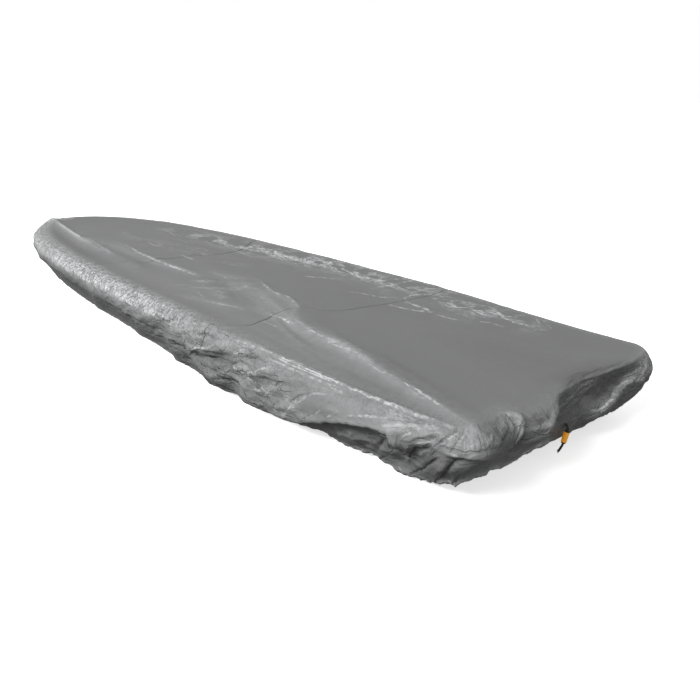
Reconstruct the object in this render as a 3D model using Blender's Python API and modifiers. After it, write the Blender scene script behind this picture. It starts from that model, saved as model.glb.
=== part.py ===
"""Fitted cover for a small flat-bottomed boat, as it lies on its boat: three sewn cloth
panels, a drawcord whose two ends leave the hem at the stern, and the lock on them."""
import math

import bpy
import numpy as np
from mathutils import Vector

# ---------------------------------------------------------------- sizes, in metres
RAIL_LENGTH = 4.30      # edge of the flat top, stern to bow tip
RAIL_HALF = 0.62        # half width of the top where it is widest
STERN_HALF = 0.571      # half width of the top at the stern
WIDEST_FROM_STERN = 1.53
BOW_FULLNESS = 2.74     # higher keeps the sides wide for longer
BOW_ROUNDING = 2.20     # 2 is a round nose, lower is more pointed
CORNER_RADIUS = 0.075   # stern corners of the top, seen from above
CLOTH = 0.002           # cloth thickness
SEAM_GAP = 0.0010       # between two panels along a seam
SAG = 0.012             # the top's middle lies this far under its edge
CENTRE_FOLD = 0.0045    # height of the folds that cross the middle, where z is 0
BOW_DIP = 0.026         # and the bow tip this far under the rest of the edge
DIP_FROM = -0.86        # where along the boat that dip begins
NORMAL_REACH = 0.03     # half the length over which the edge's direction is read

TOP_COLUMNS = 16        # cells across the top
SKIRT_ROWS = 8          # cells from the top's edge down to the hem
BOW_ROWS = 18           # cells along each side of the bow panel
MID_ROWS = 18
STERN_ROWS = 24

HALF_ROUND = math.pi / 2
STERN_Y = -RAIL_LENGTH / 2
BOW_Y = RAIL_LENGTH / 2
WIDEST_Y = STERN_Y + WIDEST_FROM_STERN

# Seams across the top. across: share of the half width, port is -1. y: metres from the middle.
BOW_SEAM = (
    # across, y
    (-1.00, 0.57), (-0.75, 0.47), (-0.58, 0.40), (-0.20, 0.41), (0.15, 0.35), (0.45, 0.34),
    (0.75, 0.44), (1.00, 0.53),
)
MID_SEAM = (
    # across, y
    (-1.00, -0.81), (-0.93, -0.85), (-0.78, -0.91), (-0.62, -0.88), (-0.42, -0.835),
    (-0.29, -0.86), (-0.20, -0.93), (-0.05, -0.98), (0.21, -1.02), (0.40, -1.05), (0.68, -1.09),
    (1.00, -1.09),
)

# How far the top's edge stands out from the even outline. along: metres round the edge from
# the bow tip, port is negative.
EDGE = (
    # along, out
    (-5.04, 0.010), (-4.96, 0.018), (-4.89, 0.042), (-4.82, 0.046), (-4.76, 0.036), (-4.69, -0.018),
    (-4.60, -0.004), (-4.50, 0.000), (-3.90, 0.006), (-3.40, -0.006), (-2.90, 0.006), (-2.30, -0.004),
    (-1.40, 0.004), (-0.55, 0.004), (0.00, 0.000), (0.80, 0.004), (2.30, -0.004), (3.60, 0.006),
    (4.40, 0.000), (4.56, 0.018), (4.68, 0.034), (4.80, 0.026), (4.95, 0.006),
)

# Section of the skirt, read round the edge. lip: where the cloth stands out furthest over the
# boat's rim. under: where it has turned in below the rim. hem: its lower edge.
SKIRT = (
    # along, lip_out, lip_drop, under_out, under_drop, hem_out, hem_drop
    (-5.05, 0.006, 0.070, -0.018, 0.160, -0.034, 0.230),
    (-4.90, 0.024, 0.075, -0.006, 0.140, -0.034, 0.216),
    (-4.75, 0.036, 0.085, 0.010, 0.135, -0.036, 0.210),
    (-4.62, 0.046, 0.065, 0.024, 0.110, -0.040, 0.212),
    (-4.50, 0.050, 0.056, 0.030, 0.100, -0.050, 0.220),
    (-4.40, 0.056, 0.058, 0.034, 0.102, -0.062, 0.240),
    (-4.32, 0.060, 0.074, 0.026, 0.116, -0.074, 0.268),
    (-4.22, 0.064, 0.078, 0.012, 0.122, -0.084, 0.292),
    (-4.10, 0.064, 0.095, 0.010, 0.140, -0.088, 0.282),
    (-3.98, 0.064, 0.132, 0.014, 0.176, -0.082, 0.278),
    (-3.76, 0.060, 0.190, 0.032, 0.226, -0.060, 0.276),
    (-3.50, 0.054, 0.150, 0.044, 0.218, -0.020, 0.278),
    (-3.20, 0.050, 0.105, 0.040, 0.190, -0.016, 0.276),
    (-2.84, 0.048, 0.095, 0.024, 0.160, -0.040, 0.268),
    (-2.30, 0.050, 0.088, 0.014, 0.145, -0.056, 0.254),
    (-1.60, 0.050, 0.085, 0.012, 0.140, -0.058, 0.252),
    (-0.90, 0.050, 0.080, 0.014, 0.140, -0.050, 0.250),
    (-0.35, 0.048, 0.075, 0.020, 0.140, -0.030, 0.240),
    (0.00, 0.046, 0.070, 0.024, 0.140, -0.018, 0.235),
    (0.45, 0.048, 0.075, 0.018, 0.140, -0.034, 0.245),
    (1.10, 0.050, 0.082, 0.014, 0.142, -0.052, 0.256),
    (2.00, 0.050, 0.088, 0.014, 0.145, -0.056, 0.264),
    (2.90, 0.052, 0.092, 0.020, 0.155, -0.048, 0.276),
    (3.60, 0.056, 0.105, 0.026, 0.170, -0.050, 0.284),
    (4.10, 0.058, 0.100, 0.030, 0.160, -0.060, 0.280),
    (4.35, 0.054, 0.106, 0.028, 0.170, -0.056, 0.262),
    (4.50, 0.044, 0.104, 0.016, 0.172, -0.046, 0.246),
    (4.66, 0.004, 0.085, 0.006, 0.165, -0.036, 0.240),
    (4.85, -0.014, 0.080, -0.002, 0.160, -0.034, 0.236),
)
SHOULDER_AT = 0.125     # share of the way down at which each of those points lies
LIP_AT = 0.375
UNDER_AT = 0.625
SHOULDER_OUT = 0.68     # of lip_out, and of lip_drop, reached at the shoulder
SHOULDER_DROP = 0.26

# Main folds of the top, each a soft ridge (height above 0) or trough along a straight run.
TOP_FOLDS = (
    # x0, y0, x1, y1, width, height
    (-0.19, 2.00, -0.35, 0.98, 0.060, 0.014),
    (-0.35, 1.00, -0.37, 0.42, 0.055, 0.016),
    (-0.18, 0.90, -0.22, -0.08, 0.050, 0.010),
    (0.06, 0.70, -0.16, -0.86, 0.060, 0.010),
    (-0.20, -0.40, -0.37, -1.10, 0.065, -0.012),
    (-0.28, -0.96, -0.37, -1.50, 0.060, 0.012),
    (-0.37, -1.48, -0.50, -2.08, 0.055, 0.014),
    (0.36, 0.60, 0.45, -0.50, 0.090, -0.010),
    (0.20, -1.30, 0.42, -2.00, 0.120, -0.008),
    (-0.10, -1.45, -0.22, -2.05, 0.110, -0.008),
    (-0.48, 0.20, -0.50, -0.70, 0.070, -0.008),
)
# Main folds of the skirt, standing out (above 0) or pressed in. Places are metres along the
# edge and metres of drop below it.
SKIRT_FOLDS = (
    # along0, drop0, along1, drop1, width, height
    (-4.99, 0.03, -4.78, 0.12, 0.050, -0.022),
    (-4.86, 0.02, -4.74, 0.15, 0.040, 0.020),
    (-4.55, 0.06, -4.32, 0.20, 0.045, 0.018),
    (-4.42, 0.04, -4.22, 0.24, 0.040, -0.016),
    (-4.30, 0.05, -4.14, 0.22, 0.045, 0.014),
    (-4.10, 0.15, -3.95, 0.27, 0.045, 0.010),
    (-3.98, 0.15, -3.80, 0.27, 0.045, -0.010),
    (-3.72, 0.05, -3.48, 0.22, 0.055, 0.014),
    (-3.55, 0.04, -3.34, 0.24, 0.045, -0.020),
    (-3.42, 0.09, -3.16, 0.26, 0.050, 0.018),
    (-3.20, 0.04, -3.02, 0.18, 0.045, -0.020),
    (-3.10, 0.08, -2.84, 0.25, 0.050, 0.018),
    (-2.92, 0.03, -2.78, 0.16, 0.045, -0.014),
    (-2.60, 0.16, -2.42, 0.25, 0.050, 0.012),
    (-2.05, 0.15, -1.88, 0.24, 0.050, 0.010),
    (-1.10, 0.05, -1.02, 0.20, 0.060, 0.008),
    (-0.42, 0.03, -0.30, 0.19, 0.055, -0.014),
    (-0.12, 0.03, -0.20, 0.18, 0.050, 0.012),
    (0.95, 0.05, 1.06, 0.22, 0.060, 0.010),
    (1.85, 0.05, 1.98, 0.24, 0.060, -0.012),
    (2.70, 0.04, 2.86, 0.24, 0.060, 0.014),
    (3.30, 0.04, 3.44, 0.24, 0.060, -0.014),
    (3.95, 0.04, 4.06, 0.22, 0.050, 0.014),
    (4.34, 0.05, 4.22, 0.22, 0.050, -0.012),
    (4.70, 0.07, 5.14, 0.12, 0.045, -0.020),
    (4.58, 0.05, 4.86, 0.19, 0.035, 0.018),
)
RAMP = 0.045            # drop over which the skirt's folds grow from nothing
TOP_TAPER = 3.0         # how gently the top's folds fade past their ends

# Drawcord and its lock, hanging from the hem by the middle of the stern.
CORD_RADIUS = 0.0026
CORD_HALF_APART = 0.0040    # each cord end from the lock's middle line
CORD_ROUTE = (
    # x, y, z of the middle line between the two cord ends
    (0.0242, -2.1338, -0.1600), (0.0236, -2.1435, -0.1672), (0.0227, -2.1470, -0.1771),
    (0.0205, -2.1461, -0.1883), (0.0168, -2.1445, -0.2071), (0.0132, -2.1429, -0.2255),
    (0.0113, -2.1421, -0.2353), (0.0060, -2.1412, -0.2440), (-0.0030, -2.1404, -0.2520),
    (-0.0144, -2.1400, -0.2570),
)
LOCK_TOP = (0.0205, -2.1461, -0.1883)
LOCK_LOW = (0.0132, -2.1429, -0.2255)
LOCK_RADIUS = 0.0105
CAP_RADIUS = 0.0086
CAP_LENGTH = 0.0050
FIT = 0.0004                # between the lock and what touches it
ROUND_SIDES = 28
EDGE_ROUNDING = 0.0012


# ---------------------------------------------------------------- scene and materials
for old in list(bpy.data.objects):
    bpy.data.objects.remove(old, do_unlink=True)

cover = bpy.data.collections.new("boat_cover")
bpy.context.scene.collection.children.link(cover)
cutters = bpy.data.collections.new("cutters")
bpy.context.scene.collection.children.link(cutters)


def material(name, colour, roughness):
    """Plain coloured surface for one piece."""
    made = bpy.data.materials.new(name)
    made.use_nodes = True
    shader = made.node_tree.nodes["Principled BSDF"]
    shader.inputs["Base Color"].default_value = (*colour, 1.0)
    shader.inputs["Roughness"].default_value = roughness
    return made


# ---------------------------------------------------------------- the cover's shape
def through(places, knots, values):
    """Smooth curve through a table's values, read at any places."""
    slopes = np.gradient(values, knots)
    cell = np.clip(np.searchsorted(knots, places) - 1, 0, len(knots) - 2)
    span = knots[cell + 1] - knots[cell]
    t = np.clip((places - knots[cell]) / span, 0.0, 1.0)
    start = values[cell] * (1 + 2 * t) * (1 - t) ** 2 + slopes[cell] * span * t * (1 - t) ** 2
    end = values[cell + 1] * t * t * (3 - 2 * t) + slopes[cell + 1] * span * t * t * (t - 1)
    return start + end


def half_outline():
    """Starboard half of the top's outline from the bow tip to the middle of the stern."""
    turn = np.linspace(0.0, HALF_ROUND, 400)
    bow_x = RAIL_HALF * np.sin(turn)
    bow_y = WIDEST_Y + (BOW_Y - WIDEST_Y) * (1 - np.sin(turn) ** BOW_ROUNDING) ** (1 / BOW_FULLNESS)
    side_y = np.linspace(WIDEST_Y, STERN_Y + CORNER_RADIUS, 100)[1:]
    side_x = RAIL_HALF - (RAIL_HALF - STERN_HALF) * ((WIDEST_Y - side_y) / WIDEST_FROM_STERN) ** 2
    corner_x = side_x[-1] - CORNER_RADIUS * (1 - np.cos(turn[::8]))[1:]
    corner_y = side_y[-1] - CORNER_RADIUS * np.sin(turn[::8])[1:]
    x = np.concatenate([bow_x, side_x, corner_x, [0.0]])
    y = np.concatenate([bow_y, side_y, corner_y, [STERN_Y]])
    along = np.concatenate([[0.0], np.cumsum(np.hypot(np.diff(x), np.diff(y)))])
    return x, y, along


OUTLINE_X, OUTLINE_Y, OUTLINE_ALONG = half_outline()
HALF_WAY = OUTLINE_ALONG[-1]


def even_edge(along):
    """Place on the even outline; along wraps round at the middle of the stern."""
    wrapped = (along + HALF_WAY) % (2 * HALF_WAY) - HALF_WAY
    x = np.sign(wrapped) * np.interp(np.abs(wrapped), OUTLINE_ALONG, OUTLINE_X)
    y = np.interp(np.abs(wrapped), OUTLINE_ALONG, OUTLINE_Y)
    return x, y


def outward(along):
    """Level direction straight out from the edge."""
    x0, y0 = even_edge(along - NORMAL_REACH)
    x1, y1 = even_edge(along + NORMAL_REACH)
    length = np.hypot(x1 - x0, y1 - y0)
    return -(y1 - y0) / length, (x1 - x0) / length


def round_table(table, column, along):
    """One column of a table that runs round the whole edge."""
    rows = np.array(table)
    knots = np.concatenate([rows[-2:, 0] - 2 * HALF_WAY, rows[:, 0], rows[:2, 0] + 2 * HALF_WAY])
    values = np.concatenate([rows[-2:, column], rows[:, column], rows[:2, column]])
    wrapped = (along + HALF_WAY) % (2 * HALF_WAY) - HALF_WAY
    return through(wrapped, knots, values)


def edge(along):
    """Edge of the top with its small unevenness."""
    x, y = even_edge(along)
    out_x, out_y = outward(along)
    off = round_table(EDGE, 1, along)
    return x + out_x * off, y + out_y * off


def folds(a, b, table, taper=1.0):
    """Sum of soft ridges, each fading to nothing past both ends of its run."""
    total = np.zeros_like(a)
    for a0, b0, a1, b1, width, height in table:
        run = math.hypot(a1 - a0, b1 - b0)
        t = ((a - a0) * (a1 - a0) + (b - b0) * (b1 - b0)) / run ** 2
        side = ((a - a0) * (b1 - b0) - (b - b0) * (a1 - a0)) / run
        past = np.maximum(np.abs(t - 0.5) - 0.5, 0.0) * run / taper
        total += height * np.exp(-(side ** 2 + past ** 2) / width ** 2)
    return total


def top_height(x, y):
    """Height of the top: a slight sag from edge to edge, with the main folds."""
    reach = np.clip((y - WIDEST_Y) / (BOW_Y - WIDEST_Y), 0.0, 1.0)
    half = RAIL_HALF * (1 - reach ** BOW_FULLNESS) ** (1 / BOW_ROUNDING) + 0.05
    across = np.clip(np.abs(x) / half, 0.0, 1.0)
    ends = np.clip((1 - np.abs(y) / BOW_Y) / 0.2, 0.0, 1.0)
    bowl = (1 - across ** 2) * ends * (2 - ends)
    dip = BOW_DIP * np.clip((y - DIP_FROM) / (BOW_Y - DIP_FROM), 0.0, 1.0) ** 2
    return SAG * (1 - bowl) - dip - CENTRE_FOLD + folds(x, y, TOP_FOLDS, TOP_TAPER)


def skirt_point(along, down):
    """Place on the skirt; down runs from 0 at the top's edge to 1 at the hem."""
    lip_out, lip_drop, under_out, under_drop, hem_out, hem_drop = (
        round_table(SKIRT, column, along) for column in range(1, 7))
    knots = np.array([0.0, SHOULDER_AT, LIP_AT, UNDER_AT, 1.0])
    outs = (0 * lip_out, SHOULDER_OUT * lip_out, lip_out, under_out, hem_out)
    drops = (0 * lip_out, SHOULDER_DROP * lip_drop, lip_drop, under_drop, hem_drop)
    weights = [through(down, knots, row) for row in np.eye(5)]
    out = sum(weight * value for weight, value in zip(weights, outs))
    drop = sum(weight * value for weight, value in zip(weights, drops))
    wrapped = (along + HALF_WAY) % (2 * HALF_WAY) - HALF_WAY
    pushed = sum(folds(wrapped + turn * 2 * HALF_WAY, drop, SKIRT_FOLDS) for turn in (-1, 0, 1))
    out = out + pushed * np.clip(drop / RAMP, 0.0, 1.0)
    rim_x, rim_y = edge(along)
    out_x, out_y = outward(along)
    fade = round_table(EDGE, 1, along) * down
    x = rim_x + out_x * (out - fade)
    y = rim_y + out_y * (out - fade)
    return x, y, top_height(rim_x, rim_y) - drop


def along_at(y, side):
    """Distance round the edge to where it passes y on one side (port is -1)."""
    return side * np.interp(-y, -OUTLINE_Y, OUTLINE_ALONG)


def seam_line(table, shift, columns):
    """Points along a seam from port to starboard, moved by shift towards the bow."""
    rows = np.array(table)
    across = np.linspace(-1.0, 1.0, columns + 1)
    y = through(across, rows[:, 0], rows[:, 1]) + shift
    port = edge(along_at(rows[0, 1] + shift, -1))
    stbd = edge(along_at(rows[-1, 1] + shift, 1))
    x = port[0] + (stbd[0] - port[0]) * (across + 1) / 2
    y[0] = port[1]
    y[-1] = stbd[1]
    return x, y


def patch(front, back, port, stbd):
    """Level surface filling four edge curves; u runs port to starboard, v front to back."""
    u = np.linspace(0.0, 1.0, len(front[0]))[None, :]
    v = np.linspace(0.0, 1.0, len(port[0]))[:, None]
    flat = []
    for axis in (0, 1):
        f, b, p, s = front[axis], back[axis], port[axis], stbd[axis]
        ruled = f[None, :] * (1 - v) + b[None, :] * v + p[:, None] * (1 - u) + s[:, None] * u
        ends = (f[0] * (1 - v) + b[0] * v) * (1 - u) + (f[-1] * (1 - v) + b[-1] * v) * u
        flat.append(ruled - ends)
    return flat


def grid_faces(ids):
    """Four-sided faces between neighbouring rows and columns of vertex numbers."""
    return [(int(ids[i, j]), int(ids[i, j + 1]), int(ids[i + 1, j + 1]), int(ids[i + 1, j]))
            for i in range(ids.shape[0] - 1) for j in range(ids.shape[1] - 1)]


def cloth(name, aft, fore, port_along, stbd_along, end_along, paint):
    """One panel: its part of the top, and the skirt that hangs from the panel's outer edges.
    end_along is None where seams close both ends, or the places along the round end."""
    x, y = patch(aft, fore, edge(port_along), edge(stbd_along))
    ids = np.arange(x.size).reshape(x.shape)
    points = [np.stack([x, y, top_height(x, y)], -1).reshape(-1, 3)]
    faces = grid_faces(ids)
    if end_along is None:
        rims = [(ids[:, 0], port_along), (ids[::-1, -1], stbd_along[::-1])]
    elif end_along[0] < end_along[-1]:
        ring = np.concatenate([ids[:, 0], ids[-1, 1:-1], ids[::-1, -1]])
        rims = [(ring, np.concatenate([port_along, end_along[1:-1], stbd_along[::-1]]))]
    else:
        ring = np.concatenate([ids[::-1, -1], ids[0, -2:0:-1], ids[:, 0]])
        rims = [(ring, np.concatenate([stbd_along[::-1], end_along[-2:0:-1], port_along]))]
    count = x.size
    down = np.linspace(0.0, 1.0, SKIRT_ROWS + 1)[1:, None]
    for ring, along in rims:
        hung = np.stack(skirt_point(along[None, :] + 0 * down, down + 0 * along[None, :]), -1)
        hung_ids = count + np.arange(hung[..., 0].size).reshape(hung.shape[:2])
        faces += grid_faces(np.concatenate([ring[None, :], hung_ids]))
        points.append(hung.reshape(-1, 3))
        count += hung_ids.size
    mesh = bpy.data.meshes.new(name)
    mesh.from_pydata(np.concatenate(points).tolist(), [], faces)
    mesh.validate()
    made = bpy.data.objects.new(name, mesh)
    cover.objects.link(made)
    mesh.materials.append(paint)
    thick = made.modifiers.new("Cloth", "SOLIDIFY")
    thick.thickness = CLOTH
    thick.offset = 1.0
    return made


SILVER = material("Silver cloth", (0.22, 0.22, 0.22), 0.45)
HALF_GAP = SEAM_GAP / 2
BOW_CORNER = 0.50
STERN_CORNER = HALF_WAY - STERN_HALF + CORNER_RADIUS * (1 - HALF_ROUND / 2)


def stretch(start, stop, cells):
    """Evenly spaced places along the edge."""
    return np.linspace(start, stop, cells + 1)


def seam_ends(table, shift):
    """Where a seam meets the edge, on the port and the starboard side."""
    return along_at(table[0][1] + shift, -1), along_at(table[-1][1] + shift, 1)


port_bow, stbd_bow = seam_ends(BOW_SEAM, HALF_GAP)
bow_end = stretch(-BOW_CORNER, BOW_CORNER, TOP_COLUMNS)
cloth("bow_panel", seam_line(BOW_SEAM, HALF_GAP, TOP_COLUMNS), edge(bow_end),
      stretch(port_bow, -BOW_CORNER, BOW_ROWS), stretch(stbd_bow, BOW_CORNER, BOW_ROWS),
      bow_end, SILVER)

port_fore, stbd_fore = seam_ends(BOW_SEAM, -HALF_GAP)
port_aft, stbd_aft = seam_ends(MID_SEAM, HALF_GAP)
cloth("mid_panel", seam_line(MID_SEAM, HALF_GAP, TOP_COLUMNS),
      seam_line(BOW_SEAM, -HALF_GAP, TOP_COLUMNS), stretch(port_aft, port_fore, MID_ROWS),
      stretch(stbd_aft, stbd_fore, MID_ROWS), None, SILVER)

port_mid, stbd_mid = seam_ends(MID_SEAM, -HALF_GAP)
stern_end = stretch(-STERN_CORNER, STERN_CORNER - 2 * HALF_WAY, TOP_COLUMNS)
cloth("stern_panel", edge(stern_end), seam_line(MID_SEAM, -HALF_GAP, TOP_COLUMNS),
      stretch(-STERN_CORNER, port_mid, STERN_ROWS), stretch(STERN_CORNER, stbd_mid, STERN_ROWS),
      stern_end, SILVER)

# ---------------------------------------------------------------- drawcord ends and lock
ORANGE = material("Orange lock", (0.85, 0.27, 0.02), 0.35)
BLACK = material("Black plastic", (0.02, 0.02, 0.02), 0.45)
CORD = material("Black cord", (0.015, 0.015, 0.015), 0.75)


def beside_route(shift):
    """The cord's route moved sideways by shift, square to its own run."""
    route = np.array(CORD_ROUTE)
    run = np.gradient(route, axis=0)
    sideways = np.stack([-run[:, 2], 0 * run[:, 1], run[:, 0]], -1)
    return route + shift * sideways / np.linalg.norm(sideways, axis=1, keepdims=True)


def cord(name, shift):
    """One end of the drawcord, beside the middle line by shift."""
    line = bpy.data.curves.new(name, "CURVE")
    line.dimensions = "3D"
    line.bevel_depth = CORD_RADIUS
    line.bevel_resolution = 3
    line.use_fill_caps = True
    spline = line.splines.new("POLY")
    spline.points.add(len(CORD_ROUTE) - 1)
    for point, (x, y, z) in zip(spline.points, beside_route(shift)):
        point.co = (x, y, z, 1.0)
    line.materials.append(CORD)
    made = bpy.data.objects.new(name, line)
    cover.objects.link(made)


def round_bar(name, start, end, radius, group):
    """Cylinder from one point to another."""
    axis = Vector(end) - Vector(start)
    bpy.ops.mesh.primitive_cylinder_add(vertices=ROUND_SIDES, radius=radius, depth=axis.length)
    made = bpy.context.object
    made.name = name
    made.data.name = name
    made.rotation_mode = "QUATERNION"
    made.rotation_quaternion = Vector((0.0, 0.0, 1.0)).rotation_difference(axis)
    made.location = (Vector(start) + Vector(end)) / 2
    for owner in list(made.users_collection):
        owner.objects.unlink(made)
    group.objects.link(made)
    return made


def lock_part(name, start, end, radius, paint):
    """Round piece of the lock, with a hole for each cord end."""
    made = round_bar(name, start, end, radius, cover)
    made.data.materials.append(paint)
    soften = made.modifiers.new("Edges", "BEVEL")
    soften.width = EDGE_ROUNDING
    soften.segments = 2
    soften.limit_method = "ANGLE"
    for bore in LOCK_BORES:
        drill = made.modifiers.new(bore.name, "BOOLEAN")
        drill.operation = "DIFFERENCE"
        drill.object = bore
        drill.solver = "EXACT"


top = Vector(LOCK_TOP)
low = Vector(LOCK_LOW)
down_lock = (low - top).normalized()
LOCK_BORES = []
for label, shift in (("Port bore", -CORD_HALF_APART), ("Starboard bore", CORD_HALF_APART)):
    reach = down_lock * (3 * CAP_LENGTH)
    beside = Vector((shift, 0.0, 0.0))
    bore = round_bar(label, top - reach + beside, low + reach + beside, CORD_RADIUS + FIT, cutters)
    bore.hide_render = True
    bore.display_type = "WIRE"
    LOCK_BORES.append(bore)

cord("drawcord_port", -CORD_HALF_APART)
cord("drawcord_starboard", CORD_HALF_APART)
lock_part("lock_body", top, low, LOCK_RADIUS, ORANGE)
lock_part("lock_cap_top", top - down_lock * (FIT + CAP_LENGTH), top - down_lock * FIT,
          CAP_RADIUS, BLACK)
lock_part("lock_cap_low", low + down_lock * FIT, low + down_lock * (FIT + CAP_LENGTH),
          CAP_RADIUS, BLACK)
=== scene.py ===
# %% [markdown]
# A fitted boat cover of thin silver cloth, lying on the rim of its boat. Three panels are sewn
# together across the boat, the skirt is drawn in under the rim by a gathered hem, and both ends of
# the drawcord leave that hem at the stern through one lock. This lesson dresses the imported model:
# each cloth panel is worked out again as a fine surface, with its creases, crumples and sewing.

# %% Frame
import math

import bmesh
import bpy
import numpy as np
from mathutils import Matrix, Vector


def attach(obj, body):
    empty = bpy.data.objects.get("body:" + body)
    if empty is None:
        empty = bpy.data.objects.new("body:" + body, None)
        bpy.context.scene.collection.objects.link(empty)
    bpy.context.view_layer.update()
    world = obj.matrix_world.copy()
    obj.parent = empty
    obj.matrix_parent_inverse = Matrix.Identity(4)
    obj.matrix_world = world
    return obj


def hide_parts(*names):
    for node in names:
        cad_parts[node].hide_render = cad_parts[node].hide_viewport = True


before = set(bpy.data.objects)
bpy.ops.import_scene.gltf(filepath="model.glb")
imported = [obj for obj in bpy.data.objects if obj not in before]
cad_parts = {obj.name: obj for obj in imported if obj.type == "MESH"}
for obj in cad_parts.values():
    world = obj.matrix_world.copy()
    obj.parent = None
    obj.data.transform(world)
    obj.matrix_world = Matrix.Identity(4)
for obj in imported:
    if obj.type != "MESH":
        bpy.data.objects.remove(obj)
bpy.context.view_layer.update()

print("frame nodes:", sorted(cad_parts))

# %% [markdown]
# The camera stands low off the port quarter, close enough that the stern looks large and the bow
# small. A wide lens close by gives that look. Its place and its three directions are numbers found
# from the outline of the top, so the render can be laid over the picture.

# %% Camera
EYE = Vector((-2.068, -3.209, 0.9355))
LOOK = Vector((0.6434, 0.6800, -0.3515)).normalized()
RIGHT = Vector((0.7321, -0.6808, 0.0233))
RIGHT = (RIGHT - LOOK * RIGHT.dot(LOOK)).normalized()
SENSOR_MM = 36.0
LENS_MM = 35.21

camera = bpy.data.objects.new("Camera", bpy.data.cameras.new("Camera"))
bpy.context.scene.collection.objects.link(camera)
turned = Matrix((RIGHT, RIGHT.cross(LOOK), -LOOK)).transposed().to_4x4()
turned.translation = EYE
camera.matrix_world = turned
camera.data.sensor_width = SENSOR_MM
camera.data.lens = LENS_MM
bpy.context.scene.camera = camera
print("camera at", tuple(round(v, 3) for v in EYE))

# %% [markdown]
# Shader maths reads better as a formula than as a list of links. One small class wraps a socket:
# an operator on it adds a Math node, and `node` adds any other node.


# %% Shader helper
class Wire:
    """A shader output. a + b, a - b, a * b and a / b each add one Math node."""

    def __init__(self, tree, socket):
        self.tree = tree
        self.socket = socket

    def node(self, kind, settings=None, sockets=None, out=0):
        """Add a node: its settings first, then its sockets, and give back one output."""
        made = self.tree.nodes.new(kind)
        for name, value in (settings or {}).items():
            if name == "stops":
                ramp = made.color_ramp.elements
                while len(ramp) < len(value):
                    ramp.new(1.0)
                for stop, (place, shade) in zip(ramp, value):
                    stop.position = place
                    stop.color = (shade, shade, shade, 1.0)
            else:
                setattr(made, name, value)
        for name, value in (sockets or {}).items():
            target = made.inputs[name]
            if isinstance(value, Wire):
                self.tree.links.new(value.socket, target)
            else:
                target.default_value = value
        return Wire(self.tree, made.outputs[out])

    def other(self, out):
        """Another output of the node that this one comes from."""
        return Wire(self.tree, self.socket.node.outputs[out])

    def maths(self, operation, other=0.0):
        return self.node("ShaderNodeMath", {"operation": operation}, {0: self, 1: other})

    def __add__(self, other):
        return self.maths("ADD", other)

    def __sub__(self, other):
        return self.maths("SUBTRACT", other)

    def __mul__(self, other):
        return self.maths("MULTIPLY", other)

    def __truediv__(self, other):
        return self.maths("DIVIDE", other)

    def __rsub__(self, other):
        return self.node("ShaderNodeMath", {"operation": "SUBTRACT"}, {0: other, 1: self})

    __radd__ = __add__
    __rmul__ = __mul__

    def smooth(self, low, high):
        """0 below low, 1 above high, and a soft step between."""
        return self.node("ShaderNodeMapRange", {"interpolation_type": "SMOOTHSTEP"},
                         {"Value": self, "From Min": low, "From Max": high})

    def noise(self, scale, detail=2.0, bend=0.0):
        """Soft noise, about 0 to 1, read at this place."""
        return self.node("ShaderNodeTexNoise", None, {"Vector": self, "Scale": scale,
                                                      "Detail": detail, "Distortion": bend})

    def mapped(self, scale):
        """This place, with a scale of its own for each axis."""
        return self.node("ShaderNodeMapping", None, {"Vector": self, "Scale": scale})

    def bands(self, direction, scale, bend=0.0):
        """Even waves across this place, 0 to 1."""
        return self.node("ShaderNodeTexWave", {"bands_direction": direction},
                         {"Vector": self, "Scale": scale, "Distortion": bend})

    def times_colour(self, colour):
        """A colour made brighter or darker by this number."""
        return self.node("ShaderNodeVectorMath", {"operation": "SCALE"},
                         {0: colour, "Scale": self})

    def bump(self, strength, distance):
        """The normal of a surface with this height, in steps of distance."""
        return self.node("ShaderNodeBump", None, {"Strength": strength, "Distance": distance,
                                                  "Height": self})


def new_material(name):
    """A material with one Principled shader, and a Wire to start its maths from."""
    made = bpy.data.materials.new(name)
    made.use_nodes = True
    shader = made.node_tree.nodes["Principled BSDF"]
    return made, shader, Wire(made.node_tree, shader.outputs[0])


def plug(start, shader, name, value):
    """Feed one socket of the shader with a Wire, or set it to a number."""
    if isinstance(value, Wire):
        start.tree.links.new(value.socket, shader.inputs[name])
    else:
        shader.inputs[name].default_value = value


# %% [markdown]
# The drawcord comes first, because its solids are already packed and its route is fixed. Both of
# its ends leave the hem, drop through the lock and end bare just below it. Each is a thin braided
# tube on one curve, and the lock between them is one middle line, so each end runs beside that
# line.

# %% Drawcord
CORD_RADIUS = 0.0026
CORD_HALF_APART = 0.0040
CORD_ROUTE = np.array([
    (0.0242, -2.1338, -0.1600), (0.0236, -2.1435, -0.1672), (0.0227, -2.1470, -0.1771),
    (0.0205, -2.1461, -0.1883), (0.0168, -2.1445, -0.2071), (0.0132, -2.1429, -0.2255),
    (0.0113, -2.1421, -0.2353), (0.0060, -2.1412, -0.2440), (-0.0030, -2.1404, -0.2520),
    (-0.0144, -2.1400, -0.2570),
])
LOCK_TOP = np.array((0.0205, -2.1461, -0.1883))
LOCK_LOW = np.array((0.0132, -2.1429, -0.2255))


def beside_route(shift):
    """The route moved sideways by shift, square to its own run in the plane of the stern."""
    run = np.gradient(CORD_ROUTE, axis=0)
    sideways = np.stack([-run[:, 2], 0 * run[:, 1], run[:, 0]], -1)
    return CORD_ROUTE + shift * sideways / np.linalg.norm(sideways, axis=1, keepdims=True)


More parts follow.
